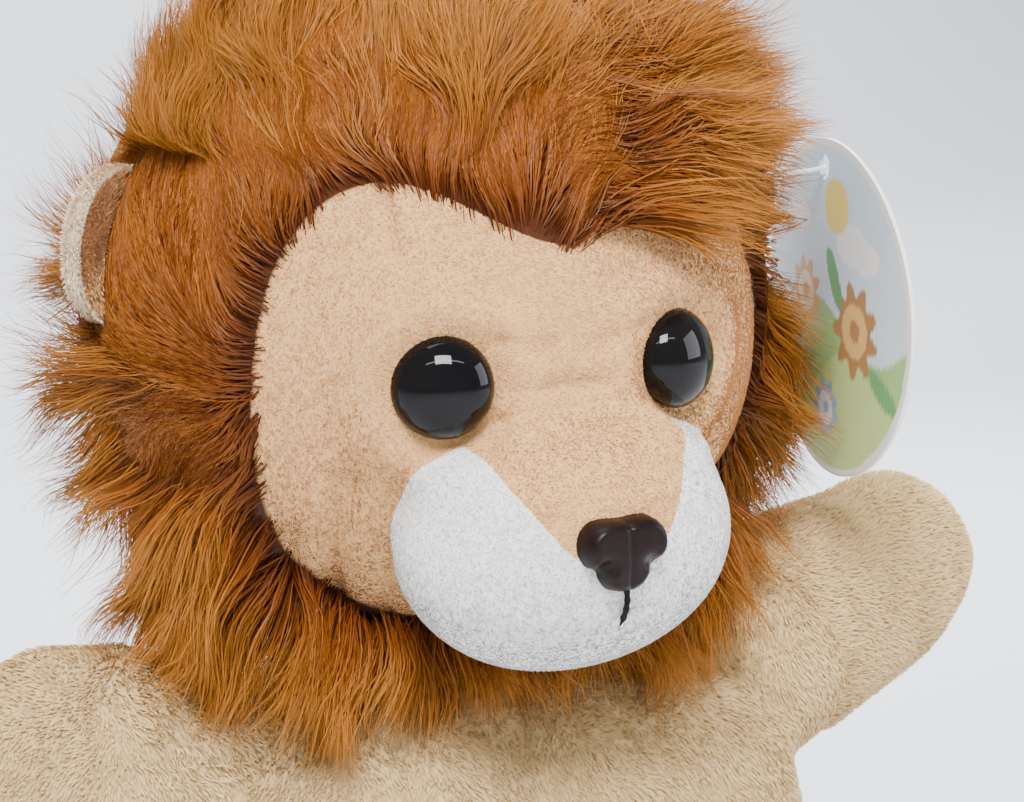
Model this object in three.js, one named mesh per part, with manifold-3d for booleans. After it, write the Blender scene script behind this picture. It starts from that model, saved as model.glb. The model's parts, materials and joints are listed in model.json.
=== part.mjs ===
// A plush lion glove puppet: a stuffed head with a long-pile mane on a hollow fabric glove with two arms.
// Millimetres, +Z up. The lion faces -Y, and its own left side is +X.
// The origin is the middle of the footprint, on the surface that the hem stands on.

import * as THREE from "three";
import { mergeVertices } from "three/addons/utils/BufferGeometryUtils.js";
import Module from "manifold-3d";

const wasm = await Module();
wasm.setup();

// ---- Driving dimensions ----

const gap = 0.3; // between pieces that touch
const cloth = 2.5; // one layer of plush with its pile pressed down
const roundSides = 20; // facets around large round shapes
const smallSides = 12; // facets around small round shapes
const middleSides = 16; // facets around muzzle, collar and shoulders
const far = 200; // longer than anything in the puppet, for cutting tools

const eyeLevel = 172;
const head = { centre: [0, 0, 178], half: [54, 48.5, 53] };
const mane = { centre: [0, 4, 181], half: [60, 57, 64] };
const beard = { centre: [0, -24, 141], half: [36, 24, 21] };
const muzzle = { centre: [0, -42.5, eyeLevel - 24.5], half: [27, 17, 19.5] };

const neckPivot = [0, 0, 118];
const neckBall = 20; // outer radius of the round collar that joins head and glove
const maneNeckGap = 38; // the mane keeps this far from the neck pivot
const fingerRadius = 9;
const headPocketTop = 190;

const shoulder = { x: 56, z: 112, ball: 19 };
const arm = {
  start: 17, // from the shoulder's centre to the sleeve's open edge
  length: 47, // from the shoulder's centre to the paw's tip
  raise: { left: 22, right: -2 }, // degrees above level, at rest
};

const eye = { x: 19.5, radius: 7.5, height: 5, shankRadius: 2, shankLength: 9 };
const washer = { radius: 7, thickness: 1.5, depth: cloth + 2 };
const nose = { width: 13.6, height: 11.2, depth: 4.6, level: eyeLevel - 24 };
const mouth = { top: eyeLevel - 30.3, bottom: eyeLevel - 35, thickness: 0.9 };
const ear = { centre: [49, -1, 192], radius: 13.5, thickness: 2.4, turn: 35, lean: 8 };

const tag = { centre: [65, -18, 172.5], radius: 28, thickness: 0.7, turn: -10, holeRadius: 2 };
const fastener = { root: 50, beyond: 2.5, radius: 0.55, bar: 7 };
const label = { width: 13, height: 24, thickness: 0.5, bottom: 14 };

const tagHole = { y: tag.centre[1], z: tag.centre[2] + tag.radius - 4.5 };

// ---- Materials ----

function material(color, roughness) {
  return new THREE.MeshStandardMaterial({ color, roughness, metalness: 0 });
}

const beigePlush = material("#d3b18c", 0.95);
const whitePlush = material("#f3efe8", 0.95);
const creamPlush = material("#ead8bb", 0.95);
const longPile = material("#b97a3a", 0.9);
const stuffingFibre = material("#f4f4f2", 1);
const liningCloth = material("#c9a884", 0.9);
const eyePlastic = material("#0b0a0a", 0.08);
const nosePlastic = material("#33201c", 0.35);
const washerPlastic = material("#e9e9e6", 0.5);
const blackThread = material("#1b1614", 0.85);
const tagCard = material("#e8e4d6", 0.6);
const clearPlastic = material("#dcdcd8", 0.4);
const labelSatin = material("#f6f6f4", 0.6);

// ---- Solids ----

function solid(geometry) {
  const bare = geometry.clone();
  bare.deleteAttribute("normal");
  bare.deleteAttribute("uv");
  const merged = mergeVertices(bare, 1e-4);
  const vertProperties = new Float32Array(merged.attributes.position.array);
  const triVerts = new Uint32Array(merged.index.array);
  return new wasm.Manifold(new wasm.Mesh({ numProp: 3, vertProperties, triVerts }));
}

function meshOf(name, body, look) {
  const { vertProperties, triVerts } = body.getMesh();
  const geometry = new THREE.BufferGeometry();
  geometry.setAttribute("position", new THREE.BufferAttribute(vertProperties, 3));
  geometry.setIndex(new THREE.BufferAttribute(triVerts, 1));
  geometry.computeVertexNormals();
  const mesh = new THREE.Mesh(geometry, look);
  mesh.name = name;
  return mesh;
}

function ellipsoid(centre, half, sides = roundSides) {
  const geometry = new THREE.SphereGeometry(1, sides, Math.round(sides * 0.7));
  geometry.rotateX(Math.PI / 2);
  geometry.scale(...half);
  geometry.translate(...centre);
  return solid(geometry);
}

function ball(centre, radius, sides = roundSides) {
  return ellipsoid(centre, [radius, radius, radius], sides);
}

function grown(half, by) {
  return half.map((value) => value + by);
}

function block(low, high) {
  const size = high.map((value, axis) => value - low[axis]);
  const geometry = new THREE.BoxGeometry(...size);
  geometry.translate(...high.map((value, axis) => (value + low[axis]) / 2));
  return solid(geometry);
}

// A cylinder along +Z from its base.
function rod(radius, length, sides = smallSides) {
  const geometry = new THREE.CylinderGeometry(radius, radius, length, sides);
  geometry.rotateX(Math.PI / 2);
  geometry.translate(0, 0, length / 2);
  return solid(geometry);
}

// A profile of [half width, half depth, height] points swept round the Z axis. It either closes on
// itself or starts and ends on the axis.
function sweptRound(profile, sides = roundSides) {
  const onAxis = profile[0][0] === 0;
  const positions = [];
  for (const [halfWidth, halfDepth, height] of profile) {
    for (let side = 0; side < sides; side += 1) {
      const angle = (side / sides) * 2 * Math.PI;
      positions.push(halfWidth * Math.cos(angle), halfDepth * Math.sin(angle), height);
    }
  }
  const index = [];
  const stretches = onAxis ? profile.length - 1 : profile.length;
  for (let row = 0; row < stretches; row += 1) {
    const above = (row + 1) % profile.length;
    for (let side = 0; side < sides; side += 1) {
      const next = (side + 1) % sides;
      const corners = [row * sides + side, row * sides + next, above * sides + next, above * sides + side];
      if (profile[row][0] > 0) index.push(corners[0], corners[1], corners[2]);
      if (profile[above][0] > 0) index.push(corners[0], corners[2], corners[3]);
    }
  }
  const geometry = new THREE.BufferGeometry();
  geometry.setAttribute("position", new THREE.Float32BufferAttribute(positions, 3));
  geometry.setIndex(index);
  return solid(geometry);
}

// An outline in the X-Z plane, made solid along Y between two depths.
function outlineAlongY(shape, front, back, curveSegments = 10) {
  const geometry = new THREE.ExtrudeGeometry(shape, {
    depth: back - front,
    bevelEnabled: false,
    curveSegments,
  });
  geometry.rotateX(Math.PI / 2);
  geometry.translate(0, back, 0);
  return solid(geometry);
}

function withMatrix(body, matrix) {
  return body.transform(matrix.elements);
}

function mirrored(body) {
  return body.scale([-1, 1, 1]);
}

const sides = [
  { name: "left", sign: 1 },
  { name: "right", sign: -1 },
];

// ---- Head forms ----

const stuffingForm = ellipsoid(head.centre, grown(head.half, -cloth - gap));
const skinInner = ellipsoid(head.centre, grown(head.half, -cloth));
const skinOuter = ellipsoid(head.centre, head.half);
const skinClear = ellipsoid(head.centre, grown(head.half, gap));
const maneOuter = ellipsoid(mane.centre, mane.half).add(ellipsoid(beard.centre, beard.half));
const muzzleOuter = ellipsoid(muzzle.centre, muzzle.half, middleSides);
const muzzleClear = ellipsoid(muzzle.centre, grown(muzzle.half, gap), middleSides);
const muzzleInner = ellipsoid(muzzle.centre, grown(muzzle.half, -cloth), middleSides);
const muzzleStuffing = ellipsoid(muzzle.centre, grown(muzzle.half, -cloth - gap), middleSides);
const neckClear = ball(neckPivot, neckBall + gap * 2, middleSides);

// The heart-shaped edge between face and mane, from the peak on the brow round to the chin and back.
function faceOutline(grow) {
  const peak = eyeLevel + 18.5 + grow;
  const lobe = { x: 24, z: eyeLevel + 29 + grow };
  const cheek = { x: 42.5 + grow, z: eyeLevel - 2 };
  const chin = eyeLevel - 40 - grow;
  const shape = new THREE.Shape();
  shape.moveTo(0, peak);
  shape.bezierCurveTo(8, peak + 1, 16, lobe.z, lobe.x, lobe.z);
  shape.bezierCurveTo(35 + grow, lobe.z, cheek.x, cheek.z + 17, cheek.x, cheek.z);
  shape.bezierCurveTo(cheek.x, cheek.z - 20, 30, chin, 0, chin);
  shape.bezierCurveTo(-30, chin, -cheek.x, cheek.z - 20, -cheek.x, cheek.z);
  shape.bezierCurveTo(-cheek.x, cheek.z + 17, -35 - grow, lobe.z, -lobe.x, lobe.z);
  shape.bezierCurveTo(-16, lobe.z, -8, peak + 1, 0, peak);
  return shape;
}

// The point on the face at a given side distance and height, and its outward direction.
function onSkin(x, z) {
  const [halfWidth, halfDepth, halfHeight] = head.half;
  const across = x / halfWidth;
  const up = (z - head.centre[2]) / halfHeight;
  const y = -halfDepth * Math.sqrt(1 - across ** 2 - up ** 2);
  const outward = new THREE.Vector3(across / halfWidth, y / halfDepth ** 2, up / halfHeight).normalize();
  return { point: new THREE.Vector3(x, y, z), outward };
}

// ---- Eyes ----

function eyePlace(sign) {
  const { point, outward } = onSkin(sign * eye.x, eyeLevel);
  const turn = new THREE.Quaternion().setFromUnitVectors(new THREE.Vector3(0, 0, 1), outward);
  return new THREE.Matrix4().compose(point, turn, new THREE.Vector3(1, 1, 1));
}

// The dome sits on the plush, and its shank runs inwards along -Z of its own frame.
function eyeSolid() {
  const dome = ellipsoid([0, 0, gap], [eye.radius, eye.radius, eye.height], 20);
  const domeHalf = dome.intersect(block([-far, -far, gap], [far, far, far]));
  const shank = rod(eye.shankRadius, eye.shankLength + 1).translate([0, 0, -eye.shankLength]);
  return domeHalf.add(shank);
}

function washerSolid() {
  const hole = rod(eye.shankRadius + gap, far).translate([0, 0, -far / 2]);
  const ring = rod(washer.radius, washer.thickness).subtract(hole);
  return ring.translate([0, 0, -washer.depth - washer.thickness]);
}

// Room in the stuffing for a washer and the shank behind it.
function fixingRoom() {
  const pocketBase = -washer.depth - washer.thickness - gap;
  const pocket = rod(washer.radius + gap, -pocketBase + gap);
  const tunnel = rod(eye.shankRadius + gap, eye.shankLength + gap);
  return pocket.translate([0, 0, pocketBase]).add(tunnel.translate([0, 0, -eye.shankLength - gap]));
}

// ---- Nose ----

function noseOutline() {
  const halfWidth = nose.width / 2 - 1.5;
  const top = nose.height / 2 - 1.5;
  const shape = new THREE.Shape();
  shape.moveTo(0, top - 0.8);
  shape.quadraticCurveTo(1.2, top, halfWidth * 0.55, top);
  shape.quadraticCurveTo(halfWidth, top, halfWidth, top * 0.35);
  shape.quadraticCurveTo(halfWidth * 0.9, -top * 0.45, halfWidth * 0.35, -top);
  shape.quadraticCurveTo(0, -top * 1.15, -halfWidth * 0.35, -top);
  shape.quadraticCurveTo(-halfWidth * 0.9, -top * 0.45, -halfWidth, top * 0.35);
  shape.quadraticCurveTo(-halfWidth, top, -halfWidth * 0.55, top);
  shape.quadraticCurveTo(-1.2, top, 0, top - 0.8);
  return shape;
}

const noseBack = muzzle.centre[1] - muzzle.half[1] + 0.9;

function noseSolid() {
  const bevel = 1.5;
  const geometry = new THREE.ExtrudeGeometry(noseOutline(), {
    depth: nose.depth - 2 * bevel,
    bevelThickness: bevel,
    bevelSize: bevel,
    bevelSegments: 3,
    curveSegments: 4,
  });
  geometry.translate(0, 0, bevel);
  const button = solid(geometry);
  const shank = rod(eye.shankRadius, eye.shankLength + 1).translate([0, 0, -eye.shankLength]);
  return button.add(shank);
}

// The nose looks along -Y and up by a few degrees.
const nosePlace = new THREE.Matrix4()
  .makeTranslation(0, noseBack, nose.level)
  .multiply(new THREE.Matrix4().makeRotationX(Math.PI / 2));

function placedNose(body) {
  return withMatrix(body, nosePlace);
}

// ---- Muzzle ----

// The beige strip between the white cheeks: wide between the eyes, narrow at the nose.
function bridgeOutline(grow) {
  const top = { half: 16 + grow, z: eyeLevel + 4 };
  const bottom = { half: 7.5 + grow, z: nose.level + 2 - grow };
  const shape = new THREE.Shape();
  shape.moveTo(-top.half, top.z);
  shape.quadraticCurveTo(-11 - grow, eyeLevel - 14, -bottom.half, bottom.z);
  shape.lineTo(bottom.half, bottom.z);
  shape.quadraticCurveTo(11 + grow, eyeLevel - 14, top.half, top.z);
  shape.closePath();
  return shape;
}

const muzzleShell = muzzleOuter.subtract(muzzleInner).subtract(skinClear);
const noseClear = placedNose(noseSolid().scale([1.06, 1.06, 1.0]).translate([0, 0, -gap]));
const bridgeTool = outlineAlongY(bridgeOutline(0), -far, 0);
const bridgeToolClear = outlineAlongY(bridgeOutline(gap), -far, 0);

function muzzleBridge() {
  return muzzleShell.intersect(bridgeTool).subtract(noseClear);
}

function muzzleCheeks() {
  return muzzleShell.subtract(bridgeToolClear).subtract(noseClear).subtract(neckClear);
}

// A short stitch of thread that follows the muzzle down from the nose.
function mouthStitch() {
  const [, centreY, centreZ] = muzzle.centre;
  const [, halfDepth, halfHeight] = muzzle.half;
  const stand = gap + mouth.thickness / 2;
  const points = [];
  for (let step = 0; step <= 4; step += 1) {
    const z = mouth.top + ((mouth.bottom - mouth.top) * step) / 4;
    const up = (z - centreZ) / halfHeight;
    points.push(new THREE.Vector3(0, centreY - halfDepth * Math.sqrt(1 - up ** 2) - stand, z));
  }
  const section = new THREE.Shape();
  section.absarc(0, 0, mouth.thickness / 2, 0, 2 * Math.PI);
  const path = new THREE.CatmullRomCurve3(points);
  const options = { steps: 6, extrudePath: path, bevelEnabled: false, curveSegments: 4 };
  return solid(new THREE.ExtrudeGeometry(section, options));
}

// ---- Ears ----

const earThickness = ear.thickness * 2 + gap;

function earPlace(sign) {
  const turn = new THREE.Euler(0, 0, THREE.MathUtils.degToRad(-sign * ear.turn), "XYZ");
  const [x, y, z] = ear.centre;
  const lean = new THREE.Matrix4().makeRotationX(THREE.MathUtils.degToRad(ear.lean));
  const spin = new THREE.Matrix4().makeRotationFromEuler(turn);
  return new THREE.Matrix4().makeTranslation(sign * x, y, z).multiply(spin).multiply(lean);
}

// A round leaf with its face along -Y of its own frame, between two depths.
function earLeaf(front, back, radius = ear.radius) {
  const disc = rod(radius, back - front, 32);
  const upright = new THREE.Matrix4().makeRotationX(Math.PI / 2);
  return withMatrix(disc, upright).translate([0, back, 0]);
}

const earRoots = { front: -earThickness / 2, back: earThickness / 2 };

function earSolid(layer, sign) {
  const front = layer === "front" ? earRoots.front : gap / 2;
  const leaf = earLeaf(front, front + ear.thickness, layer === "front" ? ear.radius - 2 : ear.radius);
  return withMatrix(leaf, earPlace(sign)).subtract(skinClear);
}

function earRoom(sign) {
  const leaf = earLeaf(earRoots.front - gap, earRoots.back + gap, ear.radius + gap);
  return withMatrix(leaf, earPlace(sign));
}

// ---- Mane ----

const backSeam = 24; // the back panel starts this far behind the ears' plane
const crownHalfAngle = 42;
const beardHalfAngle = 52;

// A wedge with its edge along Y through the head's centre, opening around +Z or -Z.
function wedge(halfAngleDegrees, up, inset) {
  const reach = far;
  const spread = Math.tan(THREE.MathUtils.degToRad(halfAngleDegrees)) * reach;
  const shape = new THREE.Shape();
  shape.moveTo(0, 0);
  shape.lineTo(-spread, up * reach);
  shape.lineTo(spread, up * reach);
  shape.closePath();
  const tool = outlineAlongY(shape, -far, far);
  return tool.translate([0, 0, head.centre[2] + up * inset]);
}

const faceOpening = outlineAlongY(faceOutline(gap), -far, -2, 14);

function maneForm() {
  let form = maneOuter.subtract(skinInner);
  form = form.subtract(faceOpening).subtract(muzzleClear);
  form = form.subtract(ball(neckPivot, maneNeckGap));
  for (const { sign } of sides) form = form.subtract(earRoom(sign));
  return form.subtract(tagFastener(fastener.radius + gap));
}

const maneWhole = maneForm();
const behindSeam = block([-far, backSeam + gap, -far], [far, far, far + 200]);
const beforeSeam = block([-far, -far, -far], [far, backSeam, far + 200]);

function largest(body) {
  const pieces = body.decompose();
  return pieces.reduce((best, piece) => (piece.volume() > best.volume() ? piece : best));
}

function manePanels() {
  const front = maneWhole.intersect(beforeSeam);
  const crown = front.intersect(wedge(crownHalfAngle, 1, gap));
  const beard = front.intersect(wedge(beardHalfAngle, -1, gap));
  const flanks = front.subtract(wedge(crownHalfAngle, 1, 0)).subtract(wedge(beardHalfAngle, -1, 0));
  const leftHalf = block([gap, -far, -far], [far, far, far + 200]);
  return {
    mane_crown: largest(crown),
    mane_beard: largest(beard),
    mane_side_left: largest(flanks.intersect(leftHalf)),
    mane_side_right: largest(flanks.intersect(mirrored(leftHalf))),
    mane_back: largest(maneWhole.intersect(behindSeam)),
  };
}

// ---- Head inside ----

const pocketWall = 1.5;

function fingerPocket() {
  const base = neckPivot[2] + neckBall + 3 * gap;
  const outer = fingerRadius + pocketWall;
  const profile = [
    [0, 0, headPocketTop],
    [outer * 0.7, outer * 0.7, headPocketTop - 2],
    [outer, outer, headPocketTop - 8],
    [outer, outer, base],
    [fingerRadius, fingerRadius, base],
    [fingerRadius, fingerRadius, headPocketTop - 8 - pocketWall],
    [0, 0, headPocketTop - pocketWall - 1],
  ];
  return sweptRound(profile.reverse(), smallSides);
}

function pocketRoom() {
  const outer = fingerRadius + pocketWall + gap;
  const profile = [
    [0, 0, neckPivot[2]],
    [outer, outer, neckPivot[2]],
    [outer, outer, headPocketTop - 7],
    [outer * 0.7, outer * 0.7, headPocketTop - 1],
    [0, 0, headPocketTop + 1],
  ];
  return sweptRound(profile, smallSides);
}

function headStuffing() {
  let form = stuffingForm.add(muzzleStuffing).subtract(neckClear).subtract(pocketRoom());
  for (const { sign } of sides) form = form.subtract(withMatrix(fixingRoom(), eyePlace(sign)));
  return form.subtract(placedNose(fixingRoom()));
}

function facePanel() {
  let form = skinOuter.subtract(skinInner).intersect(outlineAlongY(faceOutline(0), -far, -2, 14));
  form = form.subtract(muzzleClear).subtract(neckClear);
  for (const { sign } of sides) {
    const hole = rod(eye.shankRadius + gap, 4 * cloth).translate([0, 0, -2 * cloth]);
    form = form.subtract(withMatrix(hole, eyePlace(sign)));
  }
  return largest(form);
}

// ---- Neck ----

// A round collar of plush: the glove turns round it and the head nods over it.
function neckSleeve() {
  const shell = ball(neckPivot, neckBall, middleSides).subtract(ball(neckPivot, neckBall - cloth, middleSides));
  const bore = rod(fingerRadius + 3, far).translate([0, 0, neckPivot[2] - far / 2]);
  return shell.subtract(bore);
}

// ---- Glove ----

const gloveOutside = [
  [59, 38, 0],
  [58, 37, 24],
  [57, 36, 58],
  [58, 36, 88],
  [56, 33, 103],
  [48, 28, 112],
  [37, 24, 117],
  [27, 21, 120],
  [20, 18.5, 121.5],
];

function gloveWall() {
  const inside = gloveOutside.map(([halfWidth, halfDepth, height], row) => {
    const drop = (row / (gloveOutside.length - 1)) ** 3 * cloth;
    return [halfWidth - cloth, halfDepth - cloth, Math.max(0, height - drop)];
  });
  let wall = sweptRound([...gloveOutside, ...inside.reverse()]);
  wall = wall.subtract(ball(neckPivot, neckBall + 2 * gap));
  for (const { sign } of sides) {
    wall = wall.subtract(ball([sign * shoulder.x, 0, shoulder.z], shoulder.ball + 2 * gap));
  }
  return wall;
}

const gloveWhole = gloveWall();
const frontHalf = block([-far, -far, -far], [far, -gap / 2, far]);
const backHalf = block([-far, gap / 2, -far], [far, far, far]);

// ---- Shoulders and arms ----

function raised(body, side) {
  const angle = THREE.MathUtils.degToRad(-arm.raise[side.name]);
  return withMatrix(body, new THREE.Matrix4().makeRotationY(angle));
}

function placedAtShoulder(body, side) {
  const placed = body.translate([shoulder.x, 0, shoulder.z]);
  return side.sign > 0 ? placed : mirrored(placed);
}

// The round collar between glove and arm, open inwards and along the arm.
function shoulderSleeve(side) {
  const centre = [0, 0, 0];
  const shell = ball(centre, shoulder.ball, middleSides)
    .subtract(ball(centre, shoulder.ball - cloth, middleSides));
  const bore = rod(fingerRadius + 4, far);
  const inwards = withMatrix(bore, new THREE.Matrix4().makeRotationY(-Math.PI / 2));
  const outwards = withMatrix(bore, new THREE.Matrix4().makeRotationY(Math.PI / 2));
  const sleeve = shell.subtract(inwards).subtract(raised(outwards, side));
  return placedAtShoulder(sleeve, side);
}

// The arm points along +X of its own frame, with the shoulder's centre at that frame's origin.
const armOutside = [
  { at: arm.start, height: 16, depth: 12.5 },
  { at: 24, height: 17.5, depth: 13.5 },
  { at: 34, height: 16.5, depth: 13.5 },
  { at: 41, height: 13, depth: 11 },
  { at: 45.5, height: 7, depth: 6 },
];

function armTube() {
  const outside = armOutside.map(({ at, height, depth }) => [height, depth, at]);
  const inside = armOutside.map(({ at, height, depth }, row) => {
    const back = row < 2 ? 0 : cloth * (row - 1) * 0.3;
    return [Math.max(height - cloth, 2), Math.max(depth - cloth, 2), at - back];
  });
  const profile = [[0, 0, arm.length - cloth], ...inside.reverse(), ...outside, [0, 0, arm.length]];
  const tube = sweptRound(profile);
  return withMatrix(tube, new THREE.Matrix4().makeRotationY(Math.PI / 2));
}

const armWhole = armTube();

function armPanel(layer, side) {
  const half = layer === "front" ? frontHalf : backHalf;
  return placedAtShoulder(raised(armWhole.intersect(half), side), side);
}

// ---- Tags ----

function hangTag() {
  const disc = rod(tag.radius, tag.thickness, 36).translate([0, 0, -tag.thickness / 2]);
  const facing = new THREE.Matrix4().makeRotationZ(THREE.MathUtils.degToRad(tag.turn));
  const upright = facing.multiply(new THREE.Matrix4().makeRotationY(Math.PI / 2));
  const standing = withMatrix(disc, upright).translate(tag.centre);
  const drill = withMatrix(rod(tag.holeRadius, far), new THREE.Matrix4().makeRotationY(Math.PI / 2));
  return standing.subtract(drill.translate([0, tagHole.y, tagHole.z]));
}

// A plastic thread from the mane through the tag's hole, with a bar across its outer end.
function tagFastener(radius = fastener.radius) {
  const reach = tag.centre[0] + fastener.beyond - fastener.root;
  const thread = withMatrix(rod(radius, reach, 8), new THREE.Matrix4().makeRotationY(Math.PI / 2));
  const across = withMatrix(rod(radius, fastener.bar, 8), new THREE.Matrix4().makeRotationX(Math.PI / 2));
  const endBar = across.translate([reach, fastener.bar / 2, 0]);
  return thread.add(endBar).translate([fastener.root, tagHole.y, tagHole.z]);
}

function careLabel() {
  const x = gloveOutside[0][0] + gap;
  const low = [x, 0, label.bottom];
  const high = [x + label.thickness, label.width, label.bottom + label.height];
  return block(low, high);
}

// ---- Assembly ----

const puppet = new THREE.Group();

function addPart(name, body, look) {
  puppet.add(meshOf(name, body, look));
}

addPart("head_stuffing", headStuffing(), stuffingFibre);
addPart("head_finger_pocket", fingerPocket(), liningCloth);
addPart("face_panel", facePanel(), beigePlush);
addPart("muzzle_bridge", muzzleBridge(), beigePlush);
addPart("muzzle_cheeks", muzzleCheeks(), whitePlush);
addPart("nose", placedNose(noseSolid()), nosePlastic);
addPart("nose_washer", placedNose(washerSolid()), washerPlastic);
addPart("mouth_stitch", mouthStitch(), blackThread);

for (const [name, panel] of Object.entries(manePanels())) {
  addPart(name, panel, longPile);
}

for (const side of sides) {
  addPart(`eye_${side.name}`, withMatrix(eyeSolid(), eyePlace(side.sign)), eyePlastic);
  addPart(`eye_washer_${side.name}`, withMatrix(washerSolid(), eyePlace(side.sign)), washerPlastic);
  addPart(`ear_front_${side.name}`, earSolid("front", side.sign), beigePlush);
  addPart(`ear_back_${side.name}`, earSolid("back", side.sign), creamPlush);
}

addPart("neck_sleeve", neckSleeve(), beigePlush);
addPart("glove_front", gloveWhole.intersect(frontHalf), beigePlush);
addPart("glove_back", gloveWhole.intersect(backHalf), beigePlush);

for (const side of sides) {
  addPart(`shoulder_sleeve_${side.name}`, shoulderSleeve(side), beigePlush);
  addPart(`arm_front_${side.name}`, armPanel("front", side), beigePlush);
  addPart(`arm_back_${side.name}`, armPanel("back", side), beigePlush);
}

addPart("hang_tag", hangTag(), tagCard);
addPart("tag_fastener", tagFastener(), clearPlastic);
addPart("care_label", careLabel(), labelSatin);

const footprint = new THREE.Box3().setFromObject(puppet);
const middle = footprint.getCenter(new THREE.Vector3());
puppet.position.set(-middle.x, -middle.y, 0);

export default puppet;
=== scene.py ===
"""Looks for a plush lion glove puppet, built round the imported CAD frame.

Metres, +Z up, and the lion faces -Y.
"""

import json
import math

import bpy
import numpy as np
from mathutils import Matrix, Vector


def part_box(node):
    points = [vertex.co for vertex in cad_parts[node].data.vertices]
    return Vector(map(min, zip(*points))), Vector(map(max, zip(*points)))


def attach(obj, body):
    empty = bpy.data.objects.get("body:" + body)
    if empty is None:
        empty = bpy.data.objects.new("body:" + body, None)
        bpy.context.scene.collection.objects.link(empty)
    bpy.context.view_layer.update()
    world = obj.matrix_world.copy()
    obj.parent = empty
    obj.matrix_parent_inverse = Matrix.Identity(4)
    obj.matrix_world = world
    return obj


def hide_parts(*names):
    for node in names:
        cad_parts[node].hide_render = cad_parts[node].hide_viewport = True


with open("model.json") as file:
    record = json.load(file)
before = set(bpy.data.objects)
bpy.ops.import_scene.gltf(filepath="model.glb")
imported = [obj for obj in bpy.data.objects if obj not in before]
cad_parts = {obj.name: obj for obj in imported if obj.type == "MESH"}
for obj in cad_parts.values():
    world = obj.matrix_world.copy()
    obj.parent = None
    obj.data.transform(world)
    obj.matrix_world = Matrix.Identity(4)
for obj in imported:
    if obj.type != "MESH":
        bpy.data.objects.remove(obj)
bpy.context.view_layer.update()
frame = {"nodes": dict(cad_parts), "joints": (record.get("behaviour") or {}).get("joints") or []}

MM = 0.001
UP = np.array([0.0, 0.0, 1.0])
DOWN = np.array([0.0, 0.0, -1.0])
FORWARD = np.array([0.0, -1.0, 0.0])
BACKWARD = np.array([0.0, 1.0, 0.0])
SIDES = {"left": 1, "right": -1}  # the lion's own sides, along X


# ---- Measures taken from the frame ----


def node_box(node):
    low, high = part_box(node)
    return np.array(low), np.array(high)


CLOTH = 2.8 * MM  # from the stuffing to the outside of the plush

stuffing_low, stuffing_high = node_box("head_stuffing")
head_half_x = (stuffing_high[0] - stuffing_low[0]) / 2 + CLOTH
HEAD_HALF = head_half_x * np.array([1.0, 0.898, 0.981])
HEAD_CENTRE = np.array(
    [
        (stuffing_low[0] + stuffing_high[0]) / 2,
        stuffing_high[1] + CLOTH - HEAD_HALF[1],
        stuffing_high[2] + CLOTH - HEAD_HALF[2],
    ]
)
MIDDLE = HEAD_CENTRE[0]

eye_low, eye_high = node_box("eye_left")
EYE_LEVEL = (eye_low[2] + eye_high[2]) / 2

cheek_low, cheek_high = node_box("muzzle_cheeks")
muzzle_half_x = (cheek_high[0] - cheek_low[0]) / 2
MUZZLE_HALF = muzzle_half_x * np.array([1.0, 0.63, 0.722])
SHANK = 9 * MM
nose_low, nose_high = node_box("nose")
NOSE_FACE = nose_high[1] - SHANK  # where the nose meets the muzzle
MUZZLE_CENTRE = np.array([MIDDLE, NOSE_FACE - 0.9 * MM + MUZZLE_HALF[1], cheek_low[2] + MUZZLE_HALF[2]])

neck_low, neck_high = node_box("neck_sleeve")
NECK_RADIUS = (neck_high[0] - neck_low[0]) / 2
NECK = np.array([MIDDLE, (neck_low[1] + neck_high[1]) / 2, neck_high[2] - NECK_RADIUS])


# ---- Camera, lights and floor ----

AIM = np.array([MIDDLE + 14.1 * MM, HEAD_CENTRE[1], 160.8 * MM])
CAMERA_AZIMUTH = math.radians(-26.7)
CAMERA_ELEVATION = math.radians(9)
CAMERA_ROLL = math.radians(-3)
CAMERA_DISTANCE = 420 * MM
LENS = 90.5


def look_from(azimuth, elevation):
    return Vector(
        (
            math.sin(azimuth) * math.cos(elevation),
            -math.cos(azimuth) * math.cos(elevation),
            math.sin(elevation),
        )
    )


def make_camera():
    data = bpy.data.cameras.new("camera")
    data.lens = LENS
    data.clip_start, data.clip_end = 0.02, 20
    camera = bpy.data.objects.new("camera", data)
    back = look_from(CAMERA_AZIMUTH, CAMERA_ELEVATION)
    camera.location = Vector(AIM) + back * CAMERA_DISTANCE
    level = (-back).to_track_quat("-Z", "Y").to_matrix()
    camera.rotation_euler = (level @ Matrix.Rotation(CAMERA_ROLL, 3, "Z")).to_euler()
    bpy.context.collection.objects.link(camera)
    bpy.context.scene.camera = camera


def area_light(name, place, size, power, tint=(1, 1, 1), aim=AIM):
    data = bpy.data.lights.new(name, "AREA")
    data.shape = "RECTANGLE"
    data.size, data.size_y = size
    data.energy = power
    data.color = tint
    light = bpy.data.objects.new(name, data)
    light.location = place
    toward = Vector(aim) - Vector(place)
    light.rotation_euler = toward.to_track_quat("-Z", "Y").to_euler()
    bpy.context.collection.objects.link(light)


def make_lights():
    area_light("key_softbox", (-0.3, -0.7, 1.0), (0.5, 0.35), 28, (1, 0.985, 0.96))
    area_light("strip_light", (-0.25, -0.75, 0.95), (1.3, 0.05), 3)
    area_light("fill_softbox", (0.9, -0.55, 0.4), (0.6, 0.6), 7, (0.97, 0.985, 1))
    area_light("top_softbox", (0.0, 0.2, 1.1), (0.7, 0.4), 5.5)
    area_light("rim_softbox", (0.5, 0.6, 0.55), (0.4, 0.4), 6)
    area_light("backdrop_wash", (0.0, 1.0, 1.6), (3.0, 0.4), 95, (0.97, 0.985, 1), aim=(0.0, 2.2, 0.1))
    world = bpy.data.worlds.new("studio")
    world.use_nodes = True
    background = world.node_tree.nodes["Background"]
    background.inputs["Color"].default_value = (0.86, 0.88, 0.92, 1)
    background.inputs["Strength"].default_value = 0.5
    bpy.context.scene.world = world


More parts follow.
